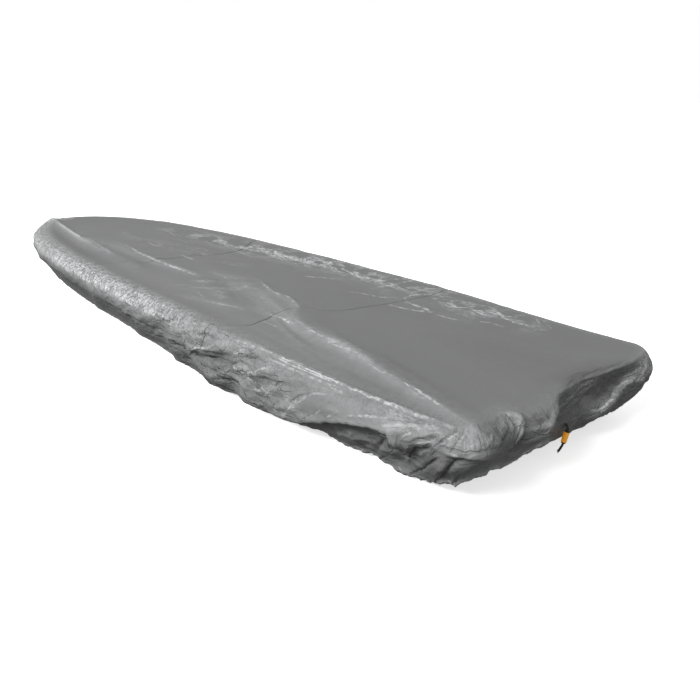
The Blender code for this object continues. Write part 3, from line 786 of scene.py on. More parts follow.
class Panel:
    """Points and faces of one panel, with numbers for each point: along, path, drop and below.
    path is the way down over the cloth from the top's edge, and negative on the top itself.
    below is the drop on the skirt, and the (negative) path on the top."""

    def __init__(self, aft, fore, port_along, stbd_along, end_along=None, end_is_stern=False):
        x, y = patch(aft, fore, edge(port_along), edge(stbd_along))
        ids = np.arange(x.size).reshape(x.shape)
        self.top_count = x.size
        points = [np.stack([x, y, top_height(x, y)], -1).reshape(-1, 3)]
        self.four = [quads(ids)]
        self.three = []
        if end_along is None:
            rims = [(ids[:, 0], port_along), (ids[::-1, -1], stbd_along[::-1])]
        elif end_is_stern:
            rims = [(np.concatenate([ids[::-1, -1], ids[0, -2:0:-1], ids[:, 0]]),
                     np.concatenate([stbd_along[::-1], end_along[-2:0:-1], port_along]))]
        else:
            rims = [(np.concatenate([ids[:, 0], ids[-1, 1:-1], ids[::-1, -1]]),
                     np.concatenate([port_along, end_along[1:-1], stbd_along[::-1]]))]
        count = x.size
        alongs, paths, drops = [], [], []
        for ring, ring_along in rims:
            fine_along = between(ring_along)
            down = np.linspace(0.0, 1.0, SKIRT_ROWS + 1)[:, None]
            place, drop = skirt_point(fine_along[None, :] + 0 * down, down + 0 * fine_along)
            steps = np.linalg.norm(np.diff(place, axis=0), axis=-1)
            hung_ids = count + np.arange(drop[1:].size).reshape(drop[1:].shape)
            self.three.append(widen(ring, hung_ids[0]))
            self.four.append(quads(hung_ids))
            points.append(place[1:].reshape(-1, 3))
            alongs.append(np.broadcast_to(fine_along, drop[1:].shape).ravel())
            paths.append(np.cumsum(steps, axis=0).ravel())
            drops.append(drop[1:].ravel())
            count += hung_ids.size
        self.points = np.concatenate(points)
        self.four = np.concatenate(self.four)
        self.three = np.concatenate(self.three)
        top_along, top_path = self.nearest_edge(np.concatenate([between(r[1]) for r in rims]))
        self.along = np.concatenate([top_along, *alongs])
        self.path = np.concatenate([top_path, *paths])
        self.drop = np.concatenate([np.zeros(self.top_count), *drops])
        self.below = np.where(self.path < 0, self.path, self.drop)
        self.soften_stern()
        self.normals = self.find_normals()

    def nearest_edge(self, rim_along):
        """For each point of the top, the nearest place on the rim and minus its distance."""
        rim = np.stack(edge(rim_along), -1)
        flat = self.points[:self.top_count, :2]
        along = np.empty(len(flat))
        path = np.empty(len(flat))
        for part in np.array_split(np.arange(len(flat)), CHUNKS):
            gaps = np.linalg.norm(flat[part, None, :] - rim[None, :, :], axis=-1)
            best = gaps.argmin(1)
            along[part] = rim_along[best]
            path[part] = -gaps[np.arange(len(part)), best]
        return along, path

    def soften_stern(self):
        """The stern's edge, moved in and down by sunk * (1 - path / reach)^2."""
        by_stern = np.clip((np.abs(wrapped(self.along)) - STERN_FROM) / STERN_RISE, 0.0, 1.0)
        from_hollow = ((self.along % WHOLE_WAY - HOLLOW_AT) / HOLLOW_HALF) ** 2
        sunk = by_stern * (STERN_SUNK + HOLLOW_SUNK * np.exp(-from_hollow))
        near = np.clip(1 - np.abs(self.path) / HOLLOW_REACH, 0.0, 1.0) ** 2
        self.points[:, 1] += SUNK_IN * sunk * near
        self.points[:, 2] -= SUNK_DOWN * sunk * near

    def find_normals(self):
        """Sum of the cross products of the faces round each point, made one metre long."""
        total = np.zeros_like(self.points)
        for faces, (a, b, c, d) in ((self.four, (0, 2, 1, 3)), (self.three, (0, 1, 0, 2))):
            corner = self.points[faces]
            cross = np.cross(corner[:, b] - corner[:, a], corner[:, d] - corner[:, c])
            for column in range(faces.shape[1]):
                for axis in range(3):
                    total[:, axis] += np.bincount(faces[:, column], cross[:, axis], len(total))
        return total / np.linalg.norm(total, axis=1, keepdims=True)


port_bow, stbd_bow = seam_ends(BOW_SEAM, HALF_GAP)
bow_end = stretch(-BOW_CORNER, BOW_CORNER)
bow_side = cells(port_bow + BOW_CORNER)
bow_panel = Panel(seam_line(BOW_SEAM, HALF_GAP, len(bow_end)), edge(bow_end),
                  stretch(port_bow, -BOW_CORNER, bow_side),
                  stretch(stbd_bow, BOW_CORNER, bow_side), bow_end)

port_fore, stbd_fore = seam_ends(BOW_SEAM, -HALF_GAP)
port_aft, stbd_aft = seam_ends(MID_SEAM, HALF_GAP)
mid_across = cells(2 * RAIL_HALF)
mid_side = cells(port_fore - port_aft)
mid_panel = Panel(seam_line(MID_SEAM, HALF_GAP, mid_across + 1),
                  seam_line(BOW_SEAM, -HALF_GAP, mid_across + 1),
                  stretch(port_aft, port_fore, mid_side), stretch(stbd_aft, stbd_fore, mid_side))

port_mid, stbd_mid = seam_ends(MID_SEAM, -HALF_GAP)
stern_end = stretch(-STERN_CORNER, STERN_CORNER - WHOLE_WAY)
stern_side = cells(port_mid + STERN_CORNER)
stern_panel = Panel(edge(stern_end), seam_line(MID_SEAM, -HALF_GAP, len(stern_end)),
                    stretch(-STERN_CORNER, port_mid, stern_side),
                    stretch(STERN_CORNER - WHOLE_WAY, stbd_mid - WHOLE_WAY, stern_side),
                    stern_end, True)
for panel in (bow_panel, mid_panel, stern_panel):
    print(len(panel.points), "points,", len(panel.four) + len(panel.three), "faces")

# %% [markdown]
# The creases that the cloth really shows are listed one by one. A crease is sharper than a fold: its
# height falls off in a straight tent from a narrow rounded top, and it can lean, so that one side
# is a steep face and the other a long slope. Heights above 0 stand up, below 0 press in. To keep
# the rows short they are written in whole millimetres, and the heights in tenths of one.

# %% Listed creases
TENTHS_OF_MM = 10000
PERCENT = 100


def in_metres(unit, rows):
    """Widths and places / 1000, and the third number of each point / unit."""
    return [[(v[0] / 1000, v[1] / 1000, v[2] / unit) if isinstance(v, tuple) else v / 1000
             for v in row] for row in rows]


TOP_CREASES = in_metres(TENTHS_OF_MM, (
    # width to the left of its run, width to the right, then its points: x, y, height
    # long soft ridges
    (50, 70, (-150, 2220, 80), (-180, 2050, 120), (-220, 1750, 100), (-270, 1450, 75),
     (-330, 970, 83), (-360, 410, 60), (-380, 100, 0)),
    (40, 60, (-130, 1200, 0), (-180, 800, 53), (-210, 290, 67), (-210, -90, 45), (-200, -400, 0)),
    (35, 60, (-70, -50, 0), (-140, -300, 45), (-230, -610, 67), (-310, -860, 83),
     (-400, -1060, 67), (-470, -1240, 37), (-500, -1450, 0)),
    (30, 50, (40, -150, 0), (-20, -360, 53), (-120, -580, 67), (-100, -700, 67), (-170, -850, 67),
     (-250, -930, 60), (-320, -1100, 75), (-350, -1290, 90), (-400, -1500, 97),
     (-460, -1760, 105), (-500, -1960, 83), (-550, -2140, 23)),
    (60, 40, (-200, -1000, 0), (-240, -1200, -45), (-340, -1480, -75), (-410, -1760, -75),
     (-460, -1980, -45), (-500, -2100, 0)),
    (50, 50, (-470, -1250, 0), (-500, -1500, -45), (-520, -1800, -45), (-550, -2000, 0)),
    (60, 80, (200, 1000, 0), (240, 500, 37), (300, -200, 37), (330, -700, 0)),
    (60, 60, (50, 1600, 0), (20, 1100, 30), (50, 600, 30), (20, 100, 0)),
    # short sharp ones
    (10, 18, (-170, 950, 0), (-180, 800, 24), (-200, 450, 30), (-210, 100, 18), (-210, -120, 0)),
    (10, 16, (-200, 1950, 0), (-250, 1600, 24), (-300, 1200, 24), (-330, 900, 0)),
    (10, 16, (340, 1420, 0), (310, 1300, 24), (190, 810, 18), (170, 700, 0)),
    (10, 16, (-50, 900, 0), (-30, 820, 24), (0, 680, 0)),
    (10, 16, (130, 640, 0), (140, 550, 24), (160, 400, 0)),
    (10, 14, (-320, -60, 0), (-280, -150, 24), (-200, -210, 18), (-150, -250, 0)),
    (10, 14, (-430, -120, 0), (-380, -180, 18), (-320, -230, 0)),
    (10, 16, (-450, -420, 0), (-430, -500, 24), (-390, -660, 24), (-360, -740, 0)),
    (9, 14, (-10, -320, 0), (-60, -460, 24), (-120, -580, 18), (-100, -700, 24), (-140, -800, 0)),
    (9, 14, (-330, -800, 0), (-310, -880, 30), (-320, -1000, 18), (-330, -1050, 0)),
    (9, 14, (-420, -840, 0), (-410, -920, 30), (-400, -1020, 0)),
    (9, 14, (-240, -880, 0), (-290, -1020, 24), (-330, -1150, 36), (-340, -1300, 24),
     (-390, -1420, 18), (-400, -1520, 30), (-430, -1600, 18), (-460, -1720, 36),
     (-470, -1840, 24), (-490, -1920, 30), (-520, -2040, 18), (-540, -2100, 0)),
    (10, 16, (270, -380, 0), (280, -450, 24), (320, -620, 0)),
    (10, 14, (240, -800, 0), (270, -900, 24), (320, -1020, 18), (320, -1160, 30),
     (300, -1280, 24), (300, -1400, 0)),
    (10, 14, (340, -1000, 0), (360, -1120, 24), (350, -1240, 0)),
))
SKIRT_CREASES = in_metres(TENTHS_OF_MM, (
    # the same, with along, drop, height; to the right of a run aft is further down the skirt
    # crisp line along the port rail
    (12, 20, (-3350, 2, 0), (-3500, 4, 60), (-3700, 6, 70), (-3900, 4, 60), (-4100, 2, 60),
     (-4250, 0, 60), (-4400, -4, 40), (-4450, -6, 0)),
    # the flap's lower edge by the port stern corner
    (50, 14, (-3600, 225, 0), (-3727, 207, 60), (-3853, 172, 100), (-4000, 122, 130),
     (-4086, 90, 130), (-4197, 67, 130), (-4268, 56, 120), (-4288, 90, 200), (-4304, 128, 240),
     (-4322, 100, 180), (-4345, 74, 120), (-4402, 58, 120), (-4425, 44, 60)),
    (40, 14, (-4440, 60, 0), (-4460, 68, 80), (-4496, 68, 90), (-4560, 88, 100),
     (-4630, 117, 100), (-4690, 135, 0)),
    # the recess under the flap, and the skirt's own bulge below it
    (14, 30, (-3740, 235, 0), (-3860, 200, -80), (-3980, 155, -140), (-4090, 115, -160),
     (-4200, 95, -160), (-4270, 90, -100), (-4300, 110, 0)),
    (18, 16, (-3800, 252, 0), (-3900, 232, 80), (-4010, 196, 110), (-4110, 172, 90),
     (-4180, 150, 0)),
    (16, 14, (-4020, 238, 0), (-4100, 222, 100), (-4180, 190, 100), (-4240, 160, 0)),
    (12, 8, (-4240, 100, 0), (-4215, 140, 100), (-4205, 190, 90), (-4180, 230, 0)),
    (8, 12, (-4140, 120, 0), (-4120, 150, 80), (-4130, 180, 80), (-4100, 210, 0)),
    (10, 10, (-4170, 150, 0), (-4140, 160, -80), (-4090, 155, -80), (-4050, 170, 0)),
    (12, 8, (-4060, 140, 0), (-4040, 175, 90), (-4050, 205, 80), (-4020, 235, 0)),
    (8, 12, (-3990, 160, 0), (-3970, 190, 70), (-3980, 220, 60)),
    (10, 8, (-3920, 190, 0), (-3900, 215, 60), (-3905, 240, 0)),
    # a facet that hangs between the two halves of that edge, and the dark gap beside it
    (22, 10, (-4225, 70, 0), (-4255, 105, 100), (-4285, 138, 160), (-4300, 150, 0)),
    (30, 26, (-4300, 160, 0), (-4345, 125, 120), (-4385, 98, 140), (-4415, 78, 0)),
    (10, 12, (-4448, 85, 0), (-4412, 120, -140), (-4350, 185, -180), (-4280, 240, -120)),
    (18, 10, (-4330, 100, 0), (-4300, 160, 180), (-4245, 220, 200), (-4200, 268, 100)),
    (10, 12, (-4500, 55, 0), (-4478, 90, -200), (-4450, 140, -220), (-4415, 200, -160),
     (-4385, 240, 0)),
    (18, 10, (-4475, 85, 0), (-4440, 135, 160), (-4385, 198, 180), (-4338, 248, 100)),
    (10, 12, (-4548, 85, 0), (-4528, 125, -180), (-4500, 175, -180), (-4475, 215, -60)),
    (16, 10, (-4520, 90, 0), (-4490, 140, 140), (-4450, 205, 140)),
    (10, 12, (-4610, 112, 0), (-4592, 145, -120), (-4570, 200, -100)),
    (14, 10, (-4575, 110, 0), (-4550, 160, 100), (-4530, 205, 80)),
    (12, 12, (-4215, 110, 0), (-4180, 160, -160), (-4130, 215, -180), (-4095, 255, -80)),
    (12, 14, (-4110, 195, 0), (-4060, 225, -140), (-4010, 262, -100)),
    (12, 14, (-3970, 205, 0), (-3930, 235, -100), (-3895, 268, -60)),
    # fan of folds from the port stern corner
    (14, 10, (-4462, 4, 0), (-4440, 40, 121), (-4415, 80, 135), (-4395, 108, 0)),
    (12, 10, (-4470, 8, 0), (-4462, 40, 95), (-4455, 78, 0)),
    (14, 10, (-4450, 2, 0), (-4400, 28, 95), (-4345, 55, 95), (-4310, 70, 0)),
    (14, 10, (-4430, 0, 0), (-4340, 18, 68), (-4230, 34, 68), (-4150, 40, 0)),
    (12, 12, (-4420, 20, 0), (-4370, 45, -81), (-4330, 62, 0)),
    (12, 12, (-4500, 10, 0), (-4510, 35, 81), (-4508, 66, 0)),
    # loose cloth along the port side
    (55, 14, (-3080, 118, 0), (-3107, 115, 160), (-3210, 88, 180), (-3340, 64, 180),
     (-3440, 45, 100), (-3480, 40, 0)),
    (12, 40, (-3080, 160, 0), (-3130, 150, -160), (-3220, 122, -200), (-3350, 94, -200),
     (-3440, 85, -100), (-3470, 80, 0)),
    (12, 38, (-3470, 130, 0), (-3500, 132, -180), (-3610, 100, -180), (-3690, 92, -140),
     (-3770, 85, -60), (-3820, 80, 0)),
    (30, 21, (-3130, 0, 0), (-3146, 40, 140), (-3155, 100, 50)),
    (36, 16, (-3350, 10, 0), (-3300, 35, 120), (-3240, 75, 160), (-3180, 108, 80),
     (-3120, 130, 0)),
    (26, 30, (-3090, 145, 0), (-3230, 118, -190), (-3390, 54, -190), (-3476, 47, -110),
     (-3540, 50, 0)),
    (36, 18, (-3380, 85, 0), (-3418, 93, 140), (-3504, 107, 150), (-3580, 80, 120),
     (-3636, 40, 0)),
    (29, 25, (-3500, 105, 0), (-3560, 92, -160), (-3724, 71, -140), (-3881, 61, -40)),
    (36, 16, (-3640, 190, 0), (-3690, 173, 120), (-3805, 144, 120), (-3880, 120, 0)),
    (22, 16, (-3340, 120, 0), (-3420, 150, 150), (-3510, 185, 120), (-3560, 215, 0)),
    (22, 21, (-3420, 165, 0), (-3510, 150, -140), (-3600, 138, -110), (-3660, 120, 0)),
    (24, 16, (-3560, 165, 0), (-3630, 130, 140), (-3710, 100, 110), (-3780, 90, 0)),
    (22, 21, (-3260, 150, 0), (-3330, 185, -140), (-3410, 215, -80)),
    (22, 16, (-3200, 150, 0), (-3260, 190, 140), (-3330, 235, 70)),
    (26, 16, (-3000, 5, 0), (-3045, 55, 120), (-3095, 110, 80)),
    (24, 21, (-3070, 105, 0), (-2990, 135, -140), (-2910, 155, -80)),
    (24, 16, (-2980, 100, 0), (-2880, 130, 120), (-2790, 150, 0)),
    (22, 16, (-2870, 10, 0), (-2910, 50, 110), (-2950, 92, 0)),
    (22, 16, (-2720, 15, 0), (-2700, 55, 80), (-2660, 95, 0)),
    (22, 16, (-2560, 60, 0), (-2470, 110, 90), (-2390, 150, 0)),
    (17, 11, (-3780, 30, 0), (-3860, 36, 40), (-3960, 50, 0)),
    (17, 11, (-3900, 100, 0), (-3980, 85, 50), (-4080, 60, 0)),
    # stern: faces that lean towards the port side, each with a steep far side
    (10, 45, (-4726, 2, 50), (-4721, 15, 100), (-4706, 54, 110), (-4673, 100, 80),
     (-4640, 130, 0)),
    (8, 20, (-4680, 4, 0), (-4672, 30, 70), (-4650, 62, 60), (-4630, 90, 0)),
    (8, 12, (-4640, 4, 0), (-4632, 30, 60), (-4615, 62, 50)),
    (16, 40, (-4815, 0, 0), (-4812, 30, 70), (-4800, 80, 90), (-4775, 130, 50), (-4760, 160, 0)),
    (8, 12, (-4575, 2, 0), (-4585, 20, -60), (-4580, 48, -40), (-4560, 70, 0)),
    (10, 30, (-4660, 120, 0), (-4640, 150, 80), (-4610, 190, 60)),
    (22, 26, (-4820, 10, 0), (-4880, 60, -203), (-4960, 110, -203), (-5040, 155, -145),
     (-5110, 200, 0)),
    (20, 18, (-5180, 160, 0), (-5300, 110, -145), (-5400, 75, -116), (-5460, 45, 0)),
    (16, 12, (-5200, 140, 0), (-5232, 160, 116), (-5268, 166, 130), (-5358, 128, 174),
     (-5440, 89, 159), (-5500, 60, 0)),
    (14, 12, (-5510, 40, 0), (-5505, 80, 130), (-5485, 132, 87)),
))
TENT_ROUNDING = 0.0016      # how soft a crease's own line is
TENT_REACH = 3              # a crease is not worked out past this many widths
WANDER = 0.35               # how far its line wanders, as a share of its narrower width
WANDER_WAVE = 0.03
SIDEWAYS_SEED = 300         # the two directions wander by noises of their own
FAR = 9.0                   # more than any distance on the cover


def creases(a, b, table):
    """Each crease is a broken line. Height there is read between its points, and beside it falls
    as exp(-2 * (sqrt(d^2 + r^2) - r) / width), with its own width on either side."""
    total = np.zeros_like(a)
    for number, (left, right, *line) in enumerate(table):
        line = np.array(line)
        reach = TENT_REACH * max(left, right)
        low, high = line[:, :2].min(0) - reach, line[:, :2].max(0) + reach
        near = np.flatnonzero((a > low[0]) & (a < high[0]) & (b > low[1]) & (b < high[1]))
        if not len(near):
            continue
        bend = WANDER * min(left, right)
        place = a[near] / WANDER_WAVE, b[near] / WANDER_WAVE
        u = a[near] + bend * uneven(number, *place)
        v = b[near] + bend * uneven(number + SIDEWAYS_SEED, *place)
        nearest = np.full(len(near), FAR)
        rise = np.zeros(len(near))
        right_hand = np.zeros(len(near), dtype=bool)
        for (a0, b0, h0), (a1, b1, h1) in zip(line[:-1], line[1:]):
            side, past, share = run_of(u, v, a0, b0, a1, b1)
            far = np.hypot(side, past)
            best = far < nearest
            nearest[best] = far[best]
            rise[best] = (h0 + (h1 - h0) * share)[best]
            right_hand[best] = side[best] > 0
        width = np.where(right_hand, right, left)
        fall = np.sqrt(nearest ** 2 + TENT_ROUNDING ** 2) - TENT_ROUNDING
        total[near] += rise * np.exp(-2 * fall / width)
    return total


print(len(TOP_CREASES) + len(SKIRT_CREASES), "creases placed by hand")

# %% [markdown]
# Where the coated cloth has been creased sharply, thin broken lines of painted highlight stand for
# the creases catching the light. They gather in a band by the starboard edge, along the main
# ridges, and on the port rail. The same kind of table says where, with an amount in place of the
# height.

# %% Painted highlights on sharp creases
TOP_GLINTS = in_metres(PERCENT, (
    # width left, width right, then points: x, y, amount of painted highlight
    (130, 120, (320, 1450, 0), (380, 900, 80), (430, 450, 120), (460, 50, 140), (520, -300, 150),
     (520, -600, 120), (480, -900, 80), (460, -1300, 100), (490, -1550, 60), (470, -1800, 0)),
    (80, 80, (50, 1600, 0), (0, 900, 30), (80, 400, 30), (120, 0, 10)),
    (50, 70, (-190, 1600, 10), (-290, 1150, 50), (-340, 700, 40)),
    (50, 80, (-200, -100, 10), (-260, -300, 30), (-380, -600, 20)),
    (30, 30, (-330, -1120, 30), (-370, -1350, 30), (-440, -1650, 30), (-490, -1900, 30)),
))
SKIRT_GLINTS = in_metres(PERCENT, (
    # along, path (negative on the top), amount of painted highlight
    (12, 14, (-3400, 4, 0), (-3600, 2, 35), (-3900, 2, 35), (-4150, 2, 30), (-4400, 2, 0)),
    (30, 30, (-4100, 50, 0), (-4250, 36, 30), (-4400, 15, 20)),
    (40, 40, (-3450, 130, 40), (-3650, 150, 60), (-3800, 130, 20)),
    (30, 30, (-5220, 160, 50), (-5350, 140, 50), (-5460, 80, 50), (-5520, 40, 30)),
    (30, 30, (-4700, 10, 30), (-4640, 30, 40), (-4570, 50, 20)),
))
GLINT_FADE = (0.0, 0.03)    # over the cloth: where the top's table gives way to the skirt's


def glints(panel):
    """Painted highlight on sharp creases at each point: the larger of the two tables' amounts."""
    x, y = panel.points[:, 0], panel.points[:, 1]
    on_top = creases(x, y, TOP_GLINTS) * (1 - step(panel.path, *GLINT_FADE))
    by_rail = sum(creases(way, panel.path, SKIRT_GLINTS) for way in each_turn(panel.along))
    return np.clip(np.maximum(on_top, by_rail), 0.0, 1.0)


print(len(TOP_GLINTS) + len(SKIRT_GLINTS), "places with pale creases")

# %% [markdown]
# Broad soft faces and streaks are painted light and painted shade, paler or darker than the cloth
# beside them where light falls on a face or shade lies beside it. Their rows are creases too, with
# an amount above 0 for painted light and below 0 for painted shade. A small width on one side makes
# that side end at a line, and a large one on the other lets it fade.

# %% Painted light and shade
TOP_PAINTED_LIGHT = in_metres(PERCENT, (
    # width left, width right, then points: x, y, amount (painted light above 0, painted shade below
    # 0)
    # the crease from the bow's port corner, feathery in painted light, and painted shade on the face
    # beside it
    (12, 30, (-170, 2120, 50), (-210, 1900, 90), (-260, 1600, 110), (-310, 1300, 120),
     (-350, 1050, 90), (-370, 850, 50), (-370, 600, 10)),
    (60, 50, (-290, 1850, -10), (-360, 1500, -25), (-410, 1200, -30), (-460, 850, -25),
     (-480, 500, -10)),
    (50, 50, (-240, 1250, 14), (-220, 860, 29), (-250, 500, 10)),
    (20, 40, (-250, 500, 0), (-260, 400, 29), (-230, 110, 24), (-200, -50, 0)),
    (30, 40, (-380, -200, 0), (-300, -300, 36), (-170, -380, 36), (-80, -380, 14)),
    (30, 40, (-500, -220, 0), (-430, -450, 29), (-360, -660, 29), (-320, -800, 0)),
    (80, 80, (-300, 1300, 0), (-280, 900, 14), (-220, 400, 15), (-200, 0, 15), (-160, -250, 16),
     (-100, -400, 0)),
    (40, 40, (-140, -250, 0), (-200, -350, 16), (-280, -550, 20), (-320, -720, 10),
     (-360, -850, 0)),
    # the long crease: bands of painted light with painted shade between
    (40, 30, (-120, -320, 14), (-200, -550, 34), (-280, -820, 41), (-360, -1050, 34),
     (-420, -1300, 10)),
    (30, 40, (-40, -350, 0), (-120, -600, 43), (-150, -780, 41), (-270, -980, 20)),
    (50, 60, (-300, -1020, 14), (-360, -1280, 41), (-430, -1620, 41), (-500, -1950, 34),
     (-540, -2120, 7)),
    (50, 50, (-270, -550, 0), (-310, -750, 25), (-390, -1000, 32), (-450, -1200, 32),
     (-500, -1450, 20), (-540, -1700, 8), (-560, -1900, 0)),
    (50, 30, (-200, -1050, 0), (-270, -1350, -11), (-340, -1700, -14), (-440, -2050, -8)),
    (16, 30, (-100, -400, 0), (-180, -620, 35), (-250, -840, 40), (-320, -1000, 30),
     (-370, -1120, 0)),
    # painted light all over the port part of the top, and on the streaks that lead into the crease
    (200, 220, (-340, 700, 0), (-360, 300, 14), (-380, -300, 15), (-420, -800, 15),
     (-460, -1200, 12), (-520, -1600, 8), (-550, -1900, 0)),
    (30, 30, (-340, -120, 0), (-280, -180, 16), (-200, -240, 22), (-120, -330, 15),
     (-70, -400, 0)),
    (40, 50, (-100, 100, 0), (-120, -100, 20), (-60, -260, 25), (20, -360, 0)),
    (30, 20, (-480, -850, 0), (-500, -1050, 18), (-520, -1300, 18), (-550, -1500, 0)),
    (450, 450, (100, -1300, 0), (100, -1800, -8), (100, -2150, -8)),
    (50, 80, (300, 600, 0), (360, 100, 12), (400, -500, 14), (360, -1200, 10), (360, -1500, 0)),
))
SKIRT_PAINTED_LIGHT = in_metres(PERCENT, (
    # the same, with along, drop (negative on the top), amount (painted light above 0, painted shade
    # below 0)
    # painted shade under the flap's lower edge, by the port stern corner
    (4, 50, (-3780, 215, -15), (-3856, 184, -28), (-4000, 134, -30), (-4086, 102, -30),
     (-4197, 79, -30), (-4262, 70, -30), (-4280, 100, -30), (-4304, 142, -25), (-4330, 108, -30),
     (-4350, 86, -30), (-4405, 70, -20)),
    # painted light just above it
    (30, 4, (-3780, 207, 0), (-3856, 176, 10), (-4000, 126, 14), (-4086, 94, 16), (-4197, 71, 18),
     (-4262, 62, 20), (-4276, 92, 22), (-4304, 132, 24), (-4326, 100, 22), (-4345, 78, 20),
     (-4410, 60, 10)),
    # painted light on the fan at the corner, and painted shade on its far side
    (5, 60, (-4520, 4, 36), (-4528, 25, 52), (-4524, 58, 42)),
    (24, 4, (-4526, 6, -14), (-4535, 28, -18), (-4532, 60, -12)),
    # painted light on a face of the stern, and painted shade on the one beyond it
    (4, 40, (-4705, 2, 25), (-4723, 12, 75), (-4706, 54, 70), (-4673, 100, 20)),
    (60, 4, (-4730, 8, -12), (-4731, 14, -36), (-4714, 56, -40), (-4682, 104, -32),
     (-4660, 130, -10)),
    (4, 40, (-4600, 6, 5), (-4650, 14, 12), (-4690, 4, 5)),
    (5, 30, (-4800, 10, 8), (-4800, 60, 16), (-4780, 110, 8)),
    (30, 30, (-4556, 4, -12), (-4575, 30, -25), (-4572, 62, -16)),
    (40, 40, (-4640, 110, 0), (-4690, 135, 30), (-4740, 140, 30), (-4800, 130, 0)),
    # painted light on the starboard ridge
    (14, 20, (-5240, 162, 30), (-5350, 130, 60), (-5450, 80, 80), (-5530, 35, 60),
     (-5580, 10, 20)),
    # painted shade below the stern's overhang
    (4, 50, (-4430, 78, -5), (-4481, 70, -22), (-4544, 66, -22), (-4600, 98, -12),
     (-4660, 122, 0)),
    # painted light on the pad and the rail on the port side
    (40, 45, (-2950, 30, 8), (-3200, 30, 14), (-3450, 35, 20), (-3650, 50, 20), (-3900, 70, 12),
     (-4100, 60, 6)),
    # painted light on the lip of the bow, and painted shade on the cloth tucked under it
    (35, 30, (-800, 20, 5), (-1300, 28, 26), (-2000, 35, 38), (-2600, 40, 36), (-2950, 40, 22)),
    (20, 70, (-1300, 130, -10), (-1800, 150, -25), (-2400, 165, -25), (-2800, 170, -15),
     (-3000, 170, 0)),
    # painted shade on the stern's edge by the hollow, darker on the top than its shape alone makes
    # it
    (34, 30, (-5000, 0, -5), (-5100, -12, -22), (-5200, -20, -28), (-5320, -16, -26),
     (-5420, -6, -18), (-5500, 0, -5)),
    # painted light along the hem of the stern
    (35, 35, (-4400, 230, 15), (-4520, 200, 70), (-4660, 185, 85), (-4820, 190, 85),
     (-5000, 200, 40)),
    (12, 20, (-4600, 196, 5), (-4740, 194, 16), (-4900, 200, 22), (-5020, 210, 10)),
))
PAINTED_LIGHT_FADE = (-0.01, 0.02)


def painted_light_and_shade(panel):
    """Painted light (paler) and painted shade (darker) streaks: the sum of the top's table and the
    skirt's.
    """
    x, y = panel.points[:, 0], panel.points[:, 1]
    on_top = creases(x, y, TOP_PAINTED_LIGHT) * (1 - step(panel.path, *PAINTED_LIGHT_FADE))
    return on_top + sum(creases(way, panel.below, SKIRT_PAINTED_LIGHT)
                        for way in each_turn(panel.along))


print(len(TOP_PAINTED_LIGHT) + len(SKIRT_PAINTED_LIGHT), "streaks")
